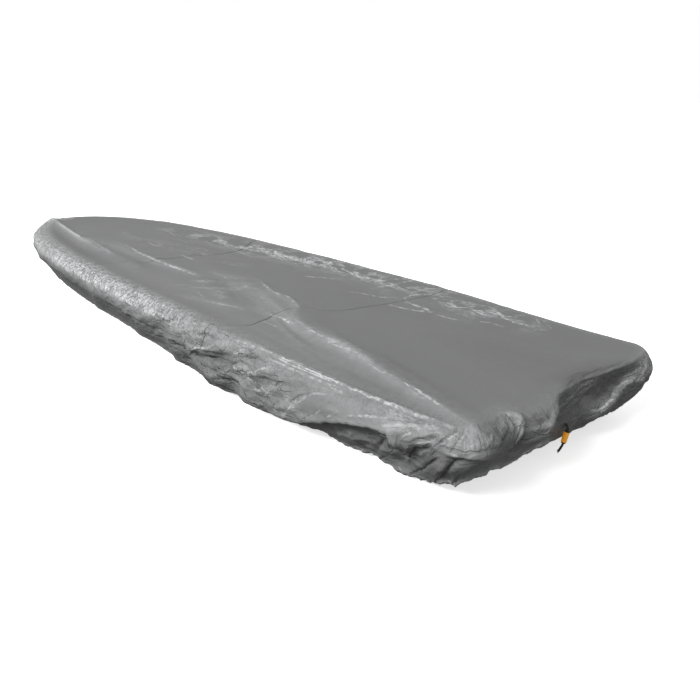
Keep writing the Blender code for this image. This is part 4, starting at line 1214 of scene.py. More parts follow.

# %% [markdown]
# The sharpest creases are lines: a raised line with a painted highlight above 0, and a gap with
# painted shade below 0. A line of a few millimetres is finer than the mesh, so each point keeps only
# how far it is from the nearest one, in half widths and with a sign for the side. The material
# makes a crisp line of that, in the bump and in the base colour.

# %% Sharp lines
TOP_LINES = in_metres(PERCENT, (
    # half width, then points: x, y, amount (painted highlight above 0, painted shade below 0)
    (8.4, (-430, -490, 20), (-410, -560, 70), (-380, -640, 80), (-380, -710, 30)),
    (10.8, (-310, -830, 40), (-310, -920, 100), (-320, -980, 70), (-320, -1020, 10)),
    (8.4, (-400, -900, 30), (-400, -970, 70), (-410, -1030, 20)),
    (4.6, (-240, -870, 10), (-290, -980, 20), (-330, -1120, 60), (-350, -1220, 70),
     (-360, -1280, 50), (-360, -1350, 10)),
    (4, (-380, -1300, 30), (-390, -1380, 50), (-400, -1480, 50), (-410, -1530, 10)),
    (4, (-430, -1570, 40), (-440, -1620, 60), (-450, -1660, 60), (-450, -1720, 30)),
    (5.9, (-455, -1740, 50), (-465, -1790, 100), (-475, -1850, 90), (-490, -1900, 60),
     (-510, -1980, 60), (-530, -2060, 30), (-540, -2100, 10)),
    (9.6, (220, -1060, 50), (240, -1170, 90), (260, -1220, 80), (290, -1270, 60)),
    (9.6, (300, -1090, 40), (300, -1190, 90), (290, -1260, 90)),
    (8.4, (280, -1310, 30), (280, -1350, 70), (290, -1400, 40)),
    (7.2, (360, -1370, 40), (360, -1410, 40)),
    (7.2, (350, -1500, 50), (370, -1530, 60), (370, -1600, 30)),
    (10.8, (490, -1500, 70), (460, -1550, 90), (450, -1620, 100), (460, -1690, 50)),
    (7.2, (440, -1730, 50), (470, -1760, 50)),
    (7.2, (530, -1560, 50), (570, -1590, 40)),
    (7.2, (560, -1640, 30), (520, -1690, 50)),
    (7.2, (560, -1680, 30), (500, -1760, 40)),
    (10.8, (520, -1340, 60), (540, -1390, 80), (540, -1430, 90), (490, -1500, 90),
     (500, -1570, 70)),
    (10.8, (480, -1220, 60), (420, -1300, 90), (460, -1340, 100), (520, -1350, 70)),
    (9.6, (460, -1350, 90), (430, -1450, 60)),
    (12, (350, -1040, 80), (410, -1030, 80), (460, -1050, 90), (490, -1100, 50)),
    (10.8, (470, -1000, 50), (540, -1000, 90), (590, -1040, 80), (590, -1130, 40)),
    (7.2, (460, -1140, 40), (490, -1220, 40)),
    (10.8, (400, -810, 50), (510, -830, 80), (600, -850, 50)),
    (10.8, (490, -730, 70), (550, -750, 90), (600, -800, 70)),
    (9.6, (240, -420, 60), (290, -500, 80), (330, -580, 50)),
    (10.8, (380, 20, 40), (400, -110, 80), (420, -200, 30)),
    (12, (480, 310, 50), (490, 210, 90), (460, -10, 70), (450, -150, 40)),
    (10.8, (520, -390, 60), (490, -500, 90), (460, -630, 70)),
    (9.6, (500, -270, 70), (560, -260, 70)),
    (9.6, (560, -360, 60), (500, -420, 60)),
    (8.4, (220, -780, 20), (240, -840, 50), (270, -950, 60), (320, -1020, 40)),
    (9.6, (310, 1290, 30), (290, 1170, 80), (270, 1050, 30)),
    (8.4, (10, 940, 30), (-10, 810, 80), (0, 720, 30)),
    (7.2, (330, 1040, 40), (380, 1020, 40)),
    (7.2, (220, 940, 30), (200, 780, 40)),
    (8.4, (140, 590, 40), (180, 530, 70), (160, 450, 30)),
    (8.4, (-30, 430, 60), (-40, 290, 50)),
    (9.6, (340, 470, 40), (330, 400, 70), (300, 270, 60), (280, 120, 20)),
    (7.2, (60, 120, 40), (90, 30, 30)),
    (10.8, (-160, 1000, 20), (-180, 810, 50), (-210, 620, 60), (-220, 440, 80), (-230, 260, 90),
     (-230, 100, 70), (-230, -100, 20)),
    (8.4, (-300, -130, 40), (-250, -180, 60), (-190, -230, 30)),
    (7.2, (-360, -230, 20), (-300, -310, 30), (-160, -340, 30)),
    (7.2, (-380, -280, 20), (-400, -410, 30)),
    (7.2, (-410, -140, 40), (-350, -200, 30)),
    (9.6, (-30, -370, 20), (-70, -460, 70), (-110, -560, 70), (-120, -660, 30)),
    (9.6, (-110, -600, 30), (-110, -700, 70), (-140, -780, 50), (-170, -850, 20)),
    (7.2, (-170, -550, 20), (-210, -660, 20)),
    (7.2, (-110, -50, 20), (-120, -180, 30), (-80, -280, 20)),
    (7.2, (-140, -380, 30), (-130, -470, 20)),
    (14, (-160, 2100, 50), (-190, 1960, 80), (-250, 1600, 100), (-300, 1300, 100),
     (-360, 700, 30)),
))
SKIRT_LINES = in_metres(PERCENT, (
    # half width, then points: along, drop (negative: path on the top), amount (painted highlight
    # above 0, painted shade below 0)
    # painted highlights along the port rail
    (3.6, (-3300, 16, 20), (-3420, 12, 50), (-3540, 6, 70), (-3630, 4, 60), (-3750, 3, 100),
     (-3880, 4, 100), (-3980, 3, 100), (-4080, 3, 90), (-4200, 3, 80), (-4280, 3, 80),
     (-4370, 3, 60), (-4460, 2, 30)),
    (4, (-3600, 22, 20), (-3700, 18, 60), (-3800, 20, 50), (-3920, 17, 50), (-4020, 18, 30)),
    (4, (-3720, -14, 20), (-3840, -12, 40), (-3960, -14, 30)),
    # the shadow line under the flap's edge
    (5, (-3780, 215, -30), (-3856, 184, -70), (-4000, 134, -80), (-4086, 102, -80),
     (-4197, 79, -80), (-4262, 70, -80), (-4280, 100, -80), (-4304, 142, -80), (-4330, 108, -80),
     (-4350, 86, -80), (-4405, 70, -60)),
    # on the flap: painted highlights, and one line of painted shade
    (5, (-4090, 66, 40), (-4170, 42, 50), (-4250, 24, 50), (-4330, 14, 30)),
    (6, (-4250, 45, 30), (-4290, 34, 50), (-4320, 28, 30)),
    (5, (-4330, 25, 40), (-4370, 16, 50), (-4420, 10, 30)),
    (6, (-4320, 54, 50), (-4370, 22, 40)),
    (5, (-3870, 155, -50), (-3920, 122, -30)),
    (5, (-3880, 150, 60), (-3930, 116, 40)),
    (5, (-3920, 125, 50), (-3960, 90, 40)),
    (5, (-3990, 108, 50), (-4040, 70, 40)),
    (4, (-3820, 120, 40), (-3870, 80, 30)),
    # loose cloth on the port side: painted highlights, and lines of painted shade
    (6, (-3420, 98, 40), (-3450, 122, 70), (-3500, 110, 80), (-3550, 88, 80), (-3640, 40, 30)),
    (6, (-3100, 90, 30), (-3150, 100, 80), (-3250, 78, 70), (-3300, 30, 30)),
    (6, (-3410, 45, 40), (-3470, 18, 60), (-3530, 8, 30)),
    (6, (-3730, 215, 30), (-3780, 165, 60), (-3820, 105, 60), (-3870, 75, 30)),
    (5, (-3820, 105, 30), (-3900, 56, 40), (-4000, 26, 10)),
    (5, (-3680, 78, -70), (-3730, 106, -50)),
    (5, (-3630, 155, 60), (-3690, 100, 50), (-3720, 75, 20)),
    (7, (-3690, 190, 50), (-3750, 182, 90), (-3810, 145, 60)),
    (7, (-3550, 155, 50), (-3600, 142, 80), (-3650, 138, 50)),
    (6, (-3107, 150, -30), (-3210, 118, -50), (-3340, 90, -30)),
    (6, (-3500, 122, -30), (-3610, 84, -60), (-3680, 76, -40), (-3760, 72, -10)),
    (5, (-3800, 112, -50), (-3830, 84, -50), (-3880, 62, -20)),
    # painted shade in the gaps between the pleats by the port stern corner
    (6, (-4435, 95, -30), (-4405, 130, -90), (-4350, 188, -100), (-4290, 240, -100),
     (-4250, 275, -50)),
    (8, (-4478, 75, -20), (-4455, 140, -80), (-4410, 200, -100), (-4350, 260, -80)),
    (6, (-4515, 95, -10), (-4485, 170, -60), (-4430, 235, -80)),
    (6, (-4160, 235, -20), (-4120, 265, -70), (-4085, 290, -60)),
    # folds that fan out from that corner, and faces on the stern beside it, in painted highlight and
    # painted shade
    (14, (-4711, 4, 10), (-4680, 26, 36), (-4635, 43, 30), (-4610, 46, 5)),
    (4, (-4645, 19, -20), (-4589, 38, -80), (-4554, 56, -40)),
    (6, (-4678, 1, 20), (-4597, 15, 45), (-4551, 39, 35)),
    (4, (-4554, 12, 30), (-4536, 31, 25)),
    (6, (-4594, 7, -20), (-4549, 24, -35), (-4539, 41, -20)),
    (5, (-4726, 12, -30), (-4698, 47, -70), (-4675, 79, -60), (-4688, 125, -20)),
    (5, (-4476, 4, 30), (-4460, 20, 50), (-4430, 65, 30)),
    (5, (-4468, 6, -30), (-4448, 28, -80), (-4417, 77, -60)),
    (4, (-4491, 4, 30), (-4481, 22, 40), (-4473, 51, 30)),
    (4, (-4486, 7, -20), (-4476, 25, -40), (-4468, 54, -20)),
    (12, (-4503, 5, 12), (-4501, 27, 30), (-4501, 52, 15)),
    (3.5, (-4506, 23, -30), (-4506, 46, -30)),
    (4, (-4526, 10, -20), (-4526, 39, -40), (-4526, 57, -20)),
    (5, (-4468, 65, 30), (-4476, 62, 40), (-4468, 99, 30), (-4450, 148, 10)),
    (5, (-4306, 59, -20), (-4293, 134, -70), (-4339, 79, -60), (-4402, 58, -50)),
    (4, (-4336, 70, 30), (-4397, 52, 40), (-4425, 34, 20)),
    (9, (-4820, 12, 10), (-4815, 60, 20), (-4800, 110, 10)),
    (5, (-5220, 150, 50), (-5250, 158, 90), (-5290, 150, 90), (-5340, 130, 100), (-5400, 98, 100),
     (-5440, 80, 80)),
    (4, (-5480, 85, 40), (-5520, 50, 70), (-5550, 18, 50)),
    (4, (-5500, 110, 30), (-5540, 70, 50), (-5565, 40, 30)),
    (4, (-5300, 168, 50), (-5350, 146, 70), (-5400, 118, 60), (-5450, 95, 50)),
    (5, (-5425, 72, 60), (-5465, 50, 90), (-5517, 28, 50)),
    (4, (-5245, 180, 60), (-5270, 172, 70), (-5262, 188, 40)),
    (4, (-5120, 175, 50), (-5150, 165, 80), (-5165, 180, 70), (-5135, 190, 60)),
    (6, (-5502, 145, 50), (-5502, 80, 40)),
    # small wrinkles of painted shade along the stern's edge by the hollow
    (8, (-5060, -6, -20), (-5110, -24, -45), (-5165, -32, -20)),
    (7, (-5120, -50, -10), (-5180, -48, -35), (-5225, -36, -20)),
    (8, (-5190, -16, -30), (-5250, -24, -45), (-5310, -34, -20)),
    (7, (-5290, -10, -20), (-5350, -22, -40), (-5410, -22, -20)),
    # painted highlights on the ruffled casing along the hem
    (10, (-4340, 250, 30), (-4420, 226, 50), (-4520, 206, 40), (-4620, 200, 30), (-4740, 200, 60),
     (-4850, 204, 80), (-4950, 208, 70), (-5020, 214, 20)),
    (8, (-3900, 262, 20), (-4050, 268, 40), (-4200, 276, 40)),
))
ON_TOP = 0.001              # path up to which the top's lines count
ACROSS_LIMIT = 4.0
LINE_FADE = (0.011, 0.020)


def nearest_line(a, b, table, best, across, amount):
    """Keep, per point, the nearest line: its signed distance / half width, and its amount."""
    for half, *line in table:
        for (a0, b0, h0), (a1, b1, h1) in zip(line[:-1], line[1:]):
            side, past, share = run_of(a, b, a0, b0, a1, b1)
            far = np.hypot(side, past)
            closer = far < best
            best[closer] = far[closer]
            across[closer] = (np.where(side < 0, -far, far) / half)[closer]
            amount[closer] = (h0 + (h1 - h0) * share)[closer]


def sharp_lines(panel):
    """Across and amount of the nearest sharp line; the amount fades between 1.1 and 2 cm away."""
    best = np.full(len(panel.points), FAR)
    across = np.full(len(panel.points), FAR)
    amount = np.zeros(len(panel.points))
    for way in each_turn(panel.along):
        nearest_line(way, panel.below, SKIRT_LINES, best, across, amount)
    top = np.flatnonzero(panel.path < ON_TOP)
    mine = [values[top] for values in (best, across, amount)]
    nearest_line(panel.points[top, 0], panel.points[top, 1], TOP_LINES, *mine)
    for values, kept in zip((best, across, amount), mine):
        values[top] = kept
    return np.clip(across, -ACROSS_LIMIT, ACROSS_LIMIT), amount * (1 - step(best, *LINE_FADE))


print(len(TOP_LINES) + len(SKIRT_LINES), "sharp lines")

# %% [markdown]
# Around the listed creases comes the cloth's own restlessness, in four kinds. The first is
# on the flat top, which has only long faint waves, ridges that follow the boat, and fine crinkles
# by its sides.

# %% Relief of the top
# sizes are across and along the boat, in metres
WAVE, WAVE_HEIGHT = (0.16, 0.60), 0.0020
SWAY, SWAY_SHARE = (0.3, 0.5), 0.6
RIDGE, RIDGE_HEIGHT, RIDGE_SHARP = (0.11, 0.75), 0.0020, 5.0
RIDGE_PATCH, RIDGE_SHOWS = (0.20, 0.45), (-0.1, 0.6)
CRINKLE, CRINKLE_HEIGHT = (0.028, 0.085), 0.0040
CRINKLE_PATCH, CRINKLE_SHOWS = (0.09, 0.22), (0.0, 0.5)
TOP_FADE = (-0.004, 0.05)           # path over which the top's relief ends
BY_SIDE = (-0.30, -0.03)            # path over which the crinkles come in
CRINKLE_Y = (-2.1, -1.5, 1.3, 1.9)


def spread(x, y, size, bend=0.0):
    """Coordinates for noise of this size on the top, moved by bend."""
    return x / size[0] + bend, y / size[1] + bend


def top_relief(panel):
    """Listed creases + long waves (60 cm by 16 cm) + faint ridges that follow the boat +
    crinkles by the sides."""
    x, y = panel.points[:, 0], panel.points[:, 1]
    waves = WAVE_HEIGHT * uneven(11, *spread(x, y, WAVE))
    bend = SWAY_SHARE * uneven(12, *spread(x, y, SWAY))
    ridges = crest(uneven(13, *spread(x, y, RIDGE, bend)), RIDGE_SHARP)
    ridges = ridges * step(uneven(14, *spread(x, y, RIDGE_PATCH)), *RIDGE_SHOWS)
    by_side = step(panel.path, *BY_SIDE) * window(y, *CRINKLE_Y)
    crinkle = facets(15, *spread(x, y, CRINKLE, bend))
    crinkle = crinkle * step(uneven(16, *spread(x, y, CRINKLE_PATCH)), *CRINKLE_SHOWS)
    return ((1 - step(panel.path, *TOP_FADE))
            * (waves + RIDGE_HEIGHT * ridges + CRINKLE_HEIGHT * by_side * crinkle
               + creases(x, y, TOP_CREASES)))


print("waves", WAVE_HEIGHT * 1000, "mm high, crinkles", CRINKLE_HEIGHT * 1000, "mm")

# %% [markdown]
# Loose cloth is crumpled in every direction, most of all on the port side. Crumple is flat facets
# of three sizes, the small ones only in patches. A second helping lies under the flap by the port
# stern corner.

# %% Crumple of the loose cloth
CRUMPLE = (
    # along, how much of the loose crumple shows there
    (-5.00, 0.80), (-4.70, 0.45), (-4.45, 0.30), (-4.10, 0.18), (-3.85, 0.22), (-3.62, 0.80),
    (-3.30, 1.00), (-3.00, 1.00), (-2.75, 0.70), (-2.30, 0.40), (-1.50, 0.30), (-0.60, 0.30),
    (0.00, 0.35), (0.80, 0.30), (1.80, 0.35), (2.80, 0.50), (3.60, 0.60), (4.20, 0.50),
    (4.60, 0.70), (4.90, 0.90),
)
FACETS = (
    # seed, size round the edge, size down the cloth, lean, sharp, height, 1 if patchy
    (23, 0.190, 0.070, -1.2, 16.0, 0.0240, 0),
    (24, 0.095, 0.036, -1.0, 14.0, 0.0160, 1),
    (25, 0.034, 0.024, 0.6, 9.0, 0.0040, 1),
)
CRUMPLE_FADE = (-0.015, 0.05)
CRUMPLE_BEND = (0.020, 0.016)       # how far the facets are bent along and down
CRUMPLE_BEND_WAVE = (0.14, 0.12)
CRUMPLE_PATCH = (0.20, 0.14)
PATCH_LEVEL, PATCH_SWING = 0.65, 0.7
UNDER_FLAP = 0.7                    # more crumple on the skirt under the flap
FLAP_ALONG = (-4.36, -4.24, -3.90, -3.72)
FLAP_DROP = (0.12, 0.16)


def crumple_relief(panel):
    """Facets of three sizes (19 x 7, 9.5 x 3.6 and 3.4 x 2.4 cm), slanting with the pull of the
    hem: amount * sum(height * facets * patches)."""
    way = wrapped(panel.along)
    amount = round_table(CRUMPLE, 1, panel.along) * step(panel.path, *CRUMPLE_FADE)
    amount = amount + UNDER_FLAP * window(way, *FLAP_ALONG) * step(panel.drop, *FLAP_DROP)
    bend_a, bend_b = (reach * way_noise(seed, panel.along, panel.path, *CRUMPLE_BEND_WAVE)
                      for seed, reach in zip((21, 22), CRUMPLE_BEND))
    a, b = panel.along + bend_a, panel.path + bend_b
    patches = PATCH_LEVEL + PATCH_SWING * way_noise(26, a, b, *CRUMPLE_PATCH)
    return amount * sum(height * way_facets(seed, a, b, wave, path_wave, lean, sharp)
                        * (patches if patchy else 1.0)
                        for seed, wave, path_wave, lean, sharp, height, patchy in FACETS)


print(len(FACETS), "sizes of facet, the largest", FACETS[0][1], "m round the edge")

# %% [markdown]
# The drawcord pulls the cloth together in two ways. Over the rim, and most at the bow, a tight
# band is ruched square to the edge. The hem gathers into pleats that die out upwards, the fine
# ones first.

# %% Ruching and gathers
RUCHING = (
    # along, how much of the tight ruching shows there
    (-5.00, 0.10), (-4.40, 0.10), (-3.60, 0.10), (-3.10, 0.30), (-2.80, 0.80), (-2.20, 1.00),
    (-1.00, 1.00), (-0.30, 0.90), (0.30, 0.80), (1.20, 0.90), (2.50, 0.80), (3.40, 0.60),
    (4.20, 0.40), (4.70, 0.20),
)
GATHER = (
    # along, how strongly the hem is gathered there
    (-5.00, 0.45), (-4.75, 0.50), (-4.50, 0.70), (-4.00, 0.80), (-3.70, 0.50), (-3.40, 0.30),
    (-3.00, 0.25), (-2.00, 0.25), (-1.00, 0.25), (0.00, 0.35), (1.00, 0.35), (2.50, 0.45),
    (3.80, 0.60), (4.50, 0.70), (4.80, 0.45),
)
RUCHES = (
    # seed, size round the edge, size down the cloth, height
    (32, 0.018, 0.050, 0.0014), (33, 0.036, 0.080, 0.0024),
)
RUCHE_PATH = (-0.010, 0.020, 0.10, 0.18)
RUCHE_BEND, RUCHE_BEND_WAVE = 0.012, (0.11, 0.10)
PLEATS = (
    # seed, size round the edge, height, how far up from the hem it dies out
    (42, 0.085, 0.0090, 0.130), (43, 0.046, 0.0060, 0.075),
    (44, 0.026, 0.0036, 0.040), (45, 0.017, 0.0020, 0.020),
)
PLEAT_LENGTH = 3.0                  # noise size up the cloth, in reaches
PLEAT_TOP, PLEAT_SLOPE = 0.7, 2.2   # pleat = top - slope * |noise|, so its ridges are sharp
PLEAT_BEND, PLEAT_BEND_WAVE, PLEAT_LEAN = 0.03, (0.22, 0.20), 0.25
PLEAT_FADE = (0.03, 0.10)


def ruching_relief(panel):
    """Ridges square to the edge, 1.8 cm and 3.6 cm apart, over the shoulder and the lip."""
    band = window(panel.path, *RUCHE_PATH)
    bent = panel.along + RUCHE_BEND * way_noise(31, panel.along, panel.path, *RUCHE_BEND_WAVE)
    ridges = sum(height * way_noise(seed, bent, panel.path, wave, path_wave)
                 for seed, wave, path_wave, height in RUCHES)
    return round_table(RUCHING, 1, panel.along) * band * ridges


def gather_relief(panel, to_hem):
    """Pleats from the hem: sum of height * pleat(along / size) * exp(-distance to hem / reach)."""
    bent = panel.along + (PLEAT_BEND * way_noise(41, panel.along, to_hem, *PLEAT_BEND_WAVE)
                          - PLEAT_LEAN * to_hem)
    total = 0.0
    for seed, wave, height, reach in PLEATS:
        noise = way_noise(seed, bent, to_hem, wave, reach * PLEAT_LENGTH)
        pleat = PLEAT_TOP - PLEAT_SLOPE * np.abs(noise)
        total = total + height * pleat * np.exp(-to_hem / reach)
    return total * step(panel.path, *PLEAT_FADE) * round_table(GATHER, 1, panel.along)


print(len(RUCHES), "sizes of ruching and", len(PLEATS), "of pleat")

# %% [markdown]
# A seam is sewn flat, so it lies a little lower than the cloth beside it, and it puckers. The hem
# is folded over the drawcord: a soft roll with a stitched line above it. Close to the lock, the
# relief fades, so that the cords and the lock keep clear of the cloth.

# %% Seams and hem in the relief
SEAM_STEPS = 240
SEAM_DEPTH = 0.0009
SEAM_HALF = 0.0045
SEAM_CALM, CALM_HALF = 0.5, 0.020       # other relief is lower beside a seam
PUCKER_DEPTH, PUCKER_HALF = 0.0010, 0.022
PUCKER = (0.020, 0.10, 0.02)            # size of the puckers, in x, y and z
HEM_ROLL = 0.022
HEM_BULGE = 0.0030
STITCH_DEPTH, STITCH_HALF = 0.0015, 0.005
HEM_CALM, HEM_CALM_FADE = 0.15, (0.03, 0.19)    # what is left of creases and crumple at the hem
LOCK_CALM, LOCK_CALM_FADE = 0.15, (0.02, 0.075)     # and of all relief at the cords
SAME_PLACE = 1e-7
SKIRT_FADE = (-0.020, 0.006)


def skirt_relief(panel):
    """Listed creases on the skirt. Starboard places are read on from the port ones."""
    return step(panel.path, *SKIRT_FADE) * sum(creases(way, panel.below, SKIRT_CREASES)
                                               for way in each_turn(panel.along))


def to_seam(panel, table):
    """Distance to a seam: on the top |y - seam's y| made square to it, else |along - its end|."""
    x, y = panel.points[:, 0], panel.points[:, 1]
    line_x, line_y = seam_line(table, 0.0, SEAM_STEPS)
    slope = np.gradient(line_y, line_x)
    across = np.abs(y - np.interp(x, line_x, line_y)) / np.hypot(1, np.interp(x, line_x, slope))
    ends = seam_ends(table, 0.0)
    way = wrapped(panel.along)
    beside = np.minimum(np.abs(way - ends[0]), np.abs(way - ends[1]))
    return np.where(panel.path > 0, beside, across)


def hem_length(panel):
    """Length of cloth from edge to hem, at places along the edge in rising order."""
    below = panel.path > 0
    order = np.argsort(panel.along[below], kind="stable")
    way, path = panel.along[below][order], panel.path[below][order]
    starts = np.flatnonzero(np.r_[True, np.diff(way) > SAME_PLACE])
    return way[starts], np.maximum.reduceat(path, starts)


def hill(distance, half):
    """1 at no distance, falling off as exp(-(distance / half)^2)."""
    return np.exp(-(distance / half) ** 2)


def finished_relief(panel):
    """All relief together, the seams' grooves and puckers, and the hem's roll. Gives back the
    height of every point and its distance to the nearest seam."""
    hem_path = np.interp(panel.along, *hem_length(panel))
    to_hem = np.where(panel.path > 0, np.maximum(hem_path - panel.path, 0.0), 1.0)
    seam = np.minimum(to_seam(panel, BOW_SEAM), to_seam(panel, MID_SEAM))
    loose = HEM_CALM + (1 - HEM_CALM) * step(to_hem, *HEM_CALM_FADE)
    height = (top_relief(panel) + crumple_relief(panel) * loose + ruching_relief(panel)
              + gather_relief(panel, to_hem) + skirt_relief(panel) * loose)
    height *= 1 - SEAM_CALM * hill(seam, CALM_HALF)
    height += PUCKER_DEPTH * uneven(51, *(panel.points / PUCKER).T) * hill(seam, PUCKER_HALF)
    height -= SEAM_DEPTH * hill(seam, SEAM_HALF)
    roll = np.clip(1 - (to_hem / HEM_ROLL - 0.5) ** 2 * 4, 0.0, 1.0)
    height += HEM_BULGE * np.sqrt(roll) - STITCH_DEPTH * hill(to_hem - HEM_ROLL, STITCH_HALF)
    to_cord = np.linalg.norm(panel.points[:, None, :] - CORD_ROUTE[None, :, :], axis=-1).min(1)
    return height * (LOCK_CALM + (1 - LOCK_CALM) * step(to_cord, *LOCK_CALM_FADE)), seam


print("seams", SEAM_DEPTH * 1000, "mm deep, hem", HEM_ROLL * 1000, "mm wide")

# %% [markdown]
# Now each panel becomes an object. Its numbers go with it: a UV map in metres round and down the
# cloth, and an attribute for each mask that the material needs. One of them is the band round the
# edge where ruching shows and where the material paints highlights; it starts further in on the
# port side. Solidify gives the cloth its thickness outwards of the worked-out surface.

# %% Build the panels
CLOTH_THICK = 0.0012
STITCH_MARK = 0.004
BAND_FROM = (-0.085, -0.035)    # path where the band starts, port and starboard
BAND_RISE = 0.055
BAND_FADE = (0.055, 0.10)


def ruched_band(panel):
    """0 on the top, rising to 1 over the edge, and 0 again below the lip."""
    start = np.where(wrapped(panel.along) < 0, *BAND_FROM)
    return ((1 - step(panel.path, *BAND_FADE))
            * np.clip((panel.path - start) / BAND_RISE, 0.0, 1.0))


def make_cloth(name, panel):
    """Mesh of the moved points, with UV map and masks, and the cloth's thickness."""
    height, seam = finished_relief(panel)
    places = panel.points + panel.normals * height[:, None]
    mesh = bpy.data.meshes.new(name)
    mesh.from_pydata(places.tolist(), [], panel.four.tolist() + panel.three.tolist())
    mesh.validate()
    corner = np.empty(len(mesh.loops), dtype=np.int32)
    mesh.loops.foreach_get("vertex_index", corner)
    flat = np.stack([panel.along, panel.path], -1)
    mesh.uv_layers.new(name="Cloth").data.foreach_set("uv", flat[corner].ravel())
    across, amount = sharp_lines(panel)
    masks = {"seam": hill(seam, STITCH_MARK), "path": panel.path, "relief": height,
             "ruching": round_table(RUCHING, 1, panel.along), "band": ruched_band(panel),
             "crumple": round_table(CRUMPLE, 1, panel.along), "glint": glints(panel),
             "across": across, "amount": amount, "sheen": painted_light_and_shade(panel)}
    for label, values in masks.items():
        mesh.attributes.new(label, "FLOAT", "POINT").data.foreach_set("value", values)
    mesh.shade_smooth()
    made = bpy.data.objects.new(name, mesh)
    bpy.context.scene.collection.objects.link(made)
    thick = made.modifiers.new("Thickness", "SOLIDIFY")
    thick.thickness = CLOTH_THICK
    thick.offset = 1.0
    print(name, len(mesh.polygons), "faces, relief", round(float(height.min()) * 1000, 1), "to",
          round(float(height.max()) * 1000, 1), "mm")
    return made


bow = make_cloth("bow_cloth", bow_panel)
middle = make_cloth("middle_cloth", mid_panel)
stern = make_cloth("stern_cloth", stern_panel)

# %% [markdown]
# The cloth is a light woven polyester with a thin silver-grey coating. It is matt at a glance, but
# every ridge that faces the light glints softly, so the roughness is middling and patchy. The
# weave is a fine plain one; it shows only close up. Crinkles too small for the mesh are bump,
# stretched square to the edge where the cloth is ruched. Much of the light and shade is also painted
# into the base colour, and the attributes say where: `glint` for painted highlights on crossing
# creases, `across` and `amount` for the sharp lines of painted highlight and painted shade, one
# more for broad streaks of painted light and painted shade, `band` for the ruching with painted
# highlights on its crests, and `relief`, which paints shade into the hollows of the skirt and light
# onto its ridges. Scales are in waves per metre or so, and a larger one gives smaller marks.

# %% Silver cloth material
CLOTH_COLOUR = (0.150, 0.151, 0.153)
BUMP_STEP = 0.001           # heights of the bump are in millimetres
WEAVE_SCALE = 260.0
HEIGHT_MM = {"crinkle": 0.7, "facet": 1.3, "ruche": 5.0, "streak": 1.0, "line": 2.2, "shaded_gap": 4.0,
             "weave": 0.03}
LEAST_CRINKLE, LEAST_FACET = 0.04, 0.10     # the share that shows even on calm cloth
# shares in the base colour: streak, line, ruche and band are painted highlights, gap is painted
# shade; level, patchy, fine and seam are the cloth's own tone
TINT = {"level": 0.945, "patchy": 0.10, "fine": 0.06, "seam": 0.12, "streak": 2.8, "line": 1.7,
        "ruche": 2.5, "band": 0.04, "shaded_gap": 0.60}
# painted shade in the hollows of the skirt and painted light on its ridges, scaled from the relief
RELIEF_SHADING, RELIEF_SHADE_DARKEST, RELIEF_LIGHT_PALEST = 14.0, -0.40, 0.18
ROUGH_LEVEL, ROUGH_PATCHY, ROUGH_FINE = 0.40, 0.10, 0.05
ON_SKIRT = (-0.03, 0.03)    # path over which the skirt's marks come in
BEND_SCALE, BEND_BY = 14.0, (0.05, 0.05, 0.05)
LARGE_FACET, LARGE_TILT = (22.0, 40.0, 1.0), 9.0
SMALL_FACET, SMALL_TILT = (56.0, 90.0, 1.0), 3.5
FACET_SOFT = 0.35
# lines: scale, detail, sharpness, bend
CRINKLE_LINES = ((30.0, 30.0, 30.0), 4.0, 9.0, 1.2)
RUCHE_LINES = ((52.0, 26.0, 1.0), 1.0, 6.5, 1.4)
LONG_LINES = ((24.0, 9.0, 24.0), 3.0, 16.0, 1.2)
SHORT_LINES, SHORT_SHARE = ((50.0, 26.0, 50.0), 2.0, 12.0, 1.0), 0.8
BROKEN_SCALE, BROKEN_EDGES = (12.0, 6.0, 12.0), (0.46, 0.56)
WIGGLES = ((90.0, 1.3), (22.0, 1.4))    # scale, size in half widths of the line
DASH_SCALE, DASH_EDGES, DASH_LEAST = 38.0, (0.42, 0.58), 0.15
LINE_EDGE, GAP_EDGE = 0.6, 0.8          # how soft the two kinds of line end at their sides
PATCHY_NOISE, FINE_NOISE = (5.0, 3.0), (160.0, 2.0)     # scale, detail
GLOSS = {"Specular IOR Level": 0.28, "Coat Weight": 0.08, "Coat Roughness": 0.30}


